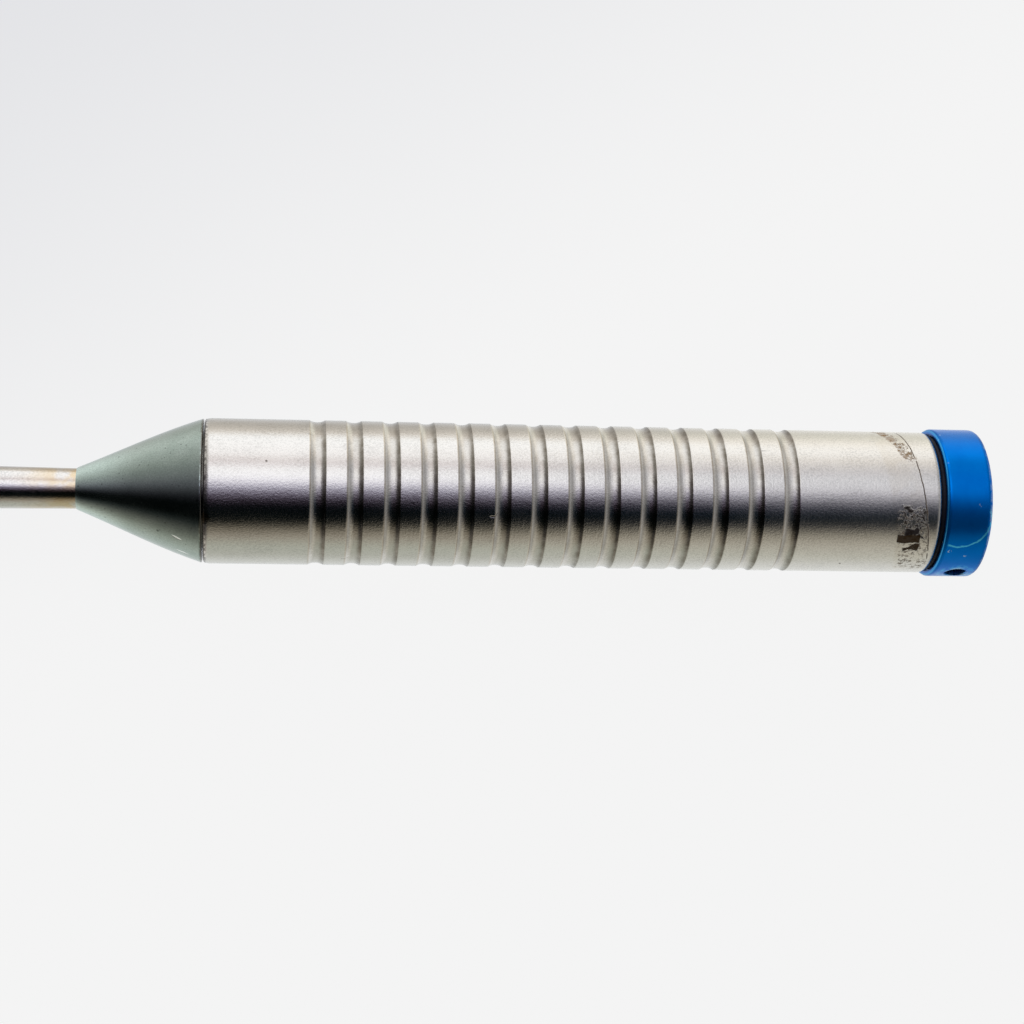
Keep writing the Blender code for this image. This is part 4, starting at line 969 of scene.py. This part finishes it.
def make_camera():
    """Above the handle, a little turned and tilted."""
    data = bpy.data.cameras.new("camera")
    data.lens = LENS
    data.sensor_width = SENSOR
    data.clip_start = 5 * MM
    first_groove = span("grip_sleeve", handle_frame)[0] + FIRST_GROOVE
    place = Vector((first_groove + CAMERA_FROM_GROOVE, 0, CAMERA_HEIGHT))
    turn = Matrix((CAMERA_RIGHT, CAMERA_UP, CAMERA_RIGHT.cross(CAMERA_UP))).transposed().to_4x4()
    camera = link("camera", data, Matrix.Translation(place) @ turn)
    bpy.context.scene.camera = camera


FLOOR_PALE, FLOOR_SHADED = (0.896, 0.896, 0.896), (0.745, 0.75, 0.775)
BACKDROP = (0.88, 0.88, 0.885)


def make_floor():
    """A pale sheet, shaded towards the picture's upper left corner."""
    mesh = bpy.data.meshes.new("floor")
    shape = bmesh.new()
    bmesh.ops.create_circle(shape, cap_ends=True, segments=96, radius=3.0)
    shape.to_mesh(mesh)
    shape.free()
    lowest = cad_box[0][2]
    floor = link("floor", mesh, Matrix.Translation((-0.07, 0, lowest - 0.02 * MM)))
    graph = Graph("pale_floor")
    set_frame(graph.material, Matrix.Identity(4))
    corner = graph.minus(graph.product(graph.y, 0.9), graph.product(graph.x, 0.55))
    corner = graph.plus(corner, graph.product(graph.noise(18, 2), 0.01))
    shade = graph.product(graph.steps(corner, 0.0, 0.1), graph.steps(corner, 0.24, 0.12))
    tint = graph.mix(shade, FLOOR_PALE, FLOOR_SHADED)
    graph.set(Emission_Color=tint, Emission_Strength=1.0, Roughness=0.9, Specular_IOR_Level=0.0,
              Base_Color=(0.02, 0.02, 0.02))
    floor.data.materials.append(graph.material)
    floor.visible_glossy = False
    floor.visible_diffuse = False


# Colour of the studio by direction, in degrees from straight up towards +Y: square on to the handle's side,
# leaning towards its rear end, and leaning towards the neck
STUDIO_MIDDLE = (
    (-180, (0.86, 0.88, 0.9)), (-140, (0.8, 0.84, 0.82)), (-116, (0.6, 0.63, 0.58)),
    (-100, (0.57, 0.61, 0.55)), (-87, (0.51, 0.52, 0.45)), (-75, (0.41, 0.38, 0.32)),
    (-62, (0.22, 0.2, 0.155)), (-54, (0.05, 0.048, 0.04)), (-48, (0.003, 0.005, 0.005)),
    (-20, (0.001, 0.002, 0.003)), (-11, (0.04, 0.028, 0.045)), (-2, (0.2, 0.18, 0.26)),
    (8, (0.62, 0.62, 0.8)), (17, (1.3, 1.32, 1.5)), (26, (1.5, 1.55, 1.66)), (38, (1.42, 1.46, 1.54)),
    (46, (1.05, 1.0, 1.06)), (52, (1.05, 1.0, 1.02)), (60, (1.42, 1.44, 1.5)), (97, (1.48, 1.54, 1.6)),
    (108, (1.02, 0.98, 0.92)), (120, (0.76, 0.73, 0.68)), (134, (0.64, 0.62, 0.58)),
    (160, (0.74, 0.75, 0.76)), (180, (0.86, 0.88, 0.9)),
)
STUDIO_REAR = (
    (-180, (0.95, 0.97, 0.97)), (-128, (0.9, 0.93, 0.92)), (-104, (0.75, 0.76, 0.69)),
    (-84, (0.68, 0.67, 0.6)), (-68, (0.58, 0.56, 0.48)), (-53, (0.34, 0.32, 0.27)),
    (-43, (0.07, 0.07, 0.075)), (-35, (0.01, 0.015, 0.02)), (-24, (0.006, 0.015, 0.025)),
    (-12, (0.06, 0.07, 0.1)), (1, (0.33, 0.34, 0.39)), (14, (0.76, 0.77, 0.85)), (28, (0.88, 0.91, 1.0)),
    (42, (0.84, 0.87, 0.96)), (56, (0.87, 0.87, 0.9)), (70, (1.1, 1.06, 1.0)), (84, (1.42, 1.44, 1.44)),
    (108, (1.42, 1.4, 1.33)), (124, (1.1, 1.1, 1.0)), (137, (0.94, 0.94, 0.86)), (180, (1.1, 1.1, 1.1)),
)
STUDIO_NECK = (
    (-180, (1.0, 1.0, 1.0)), (-130, (0.88, 0.88, 0.84)), (-115, (0.72, 0.7, 0.64)),
    (-94, (0.36, 0.34, 0.3)), (-75, (0.14, 0.13, 0.12)), (-62, (0.03, 0.034, 0.035)),
    (-50, (0.001, 0.002, 0.002)), (-22, (0.001, 0.002, 0.002)), (-10, (0.025, 0.023, 0.03)),
    (2, (0.09, 0.085, 0.1)), (14, (0.19, 0.18, 0.21)), (31, (0.34, 0.33, 0.35)), (48, (0.45, 0.45, 0.45)),
    (66, (0.64, 0.64, 0.62)), (85, (0.85, 0.85, 0.83)), (104, (1.05, 1.05, 1.02)), (180, (1.0, 1.0, 1.0)),
)
# Along the handle: (how far a direction leans towards +X, strength of the studio, grey added to it)
ALONG = ((-1.0, 0.8, 0.03), (-0.8, 1.0, 0.0), (0.36, 1.0, 0.0), (0.6, 0.4, 0.14), (1.0, 0.3, 0.42))


def make_studio():
    """Long soft boxes and a dark flag, all parallel to the handle, as a world that is pale to the camera."""
    world = bpy.data.worlds.new("studio")
    bpy.context.scene.world = world
    world.use_nodes = True
    world.node_tree.nodes.clear()
    nodes = Nodes(world.node_tree)
    lean, y, z = nodes.split(nodes.add("ShaderNodeTexCoord").outputs["Generated"])
    turn = nodes.steps(nodes.math("ARCTAN2", y, z), -math.pi, math.pi, kind="LINEAR")
    along = nodes.steps(lean, -1, 1, kind="LINEAR")

    def ramp(source, rows):
        """Colours at places from 0 to 1 along a value."""
        node = nodes.add("ShaderNodeValToRGB")
        nodes.join(source, node.inputs[0])
        stops = node.color_ramp.elements
        while len(stops) < len(rows):
            stops.new(0.5)
        for stop, (place, colour) in zip(stops, rows):
            stop.position = place
            stop.color = (*colour, 1)
        return node.outputs[0]

    def around(table):
        return ramp(turn, [((degrees + 180) / 360, colour) for degrees, colour in table])

    strength = ramp(along, [((place + 1) / 2, (value,) * 3) for place, value, _ in ALONG])
    grey = ramp(along, [((place + 1) / 2, (value,) * 3) for place, _, value in ALONG])
    colour = nodes.mix(nodes.steps(lean, -0.15, -0.5), around(STUDIO_MIDDLE), around(STUDIO_NECK))
    colour = nodes.mix(nodes.steps(lean, 0.1, 0.28), colour, around(STUDIO_REAR))
    filled = nodes.mix(1.0, nodes.mix(1.0, colour, strength, "MULTIPLY"), grey, "ADD")
    seen = nodes.mix(nodes.add("ShaderNodeLightPath").outputs["Is Camera Ray"], filled, BACKDROP)
    background = nodes.add("ShaderNodeBackground")
    nodes.join(seen, background.inputs[0])
    nodes.join(background.outputs[0], nodes.add("ShaderNodeOutputWorld").inputs[0])


make_camera()
make_sleeve()
make_cone()
make_neck()
make_union_nut()
make_elbow()
make_head()
make_back_cap()
make_button()
make_chuck()
make_controller_cap()
make_seal()
make_barrel()
dress_inner_nodes()
make_floor()
make_studio()
bpy.context.scene.view_settings.view_transform = "Standard"
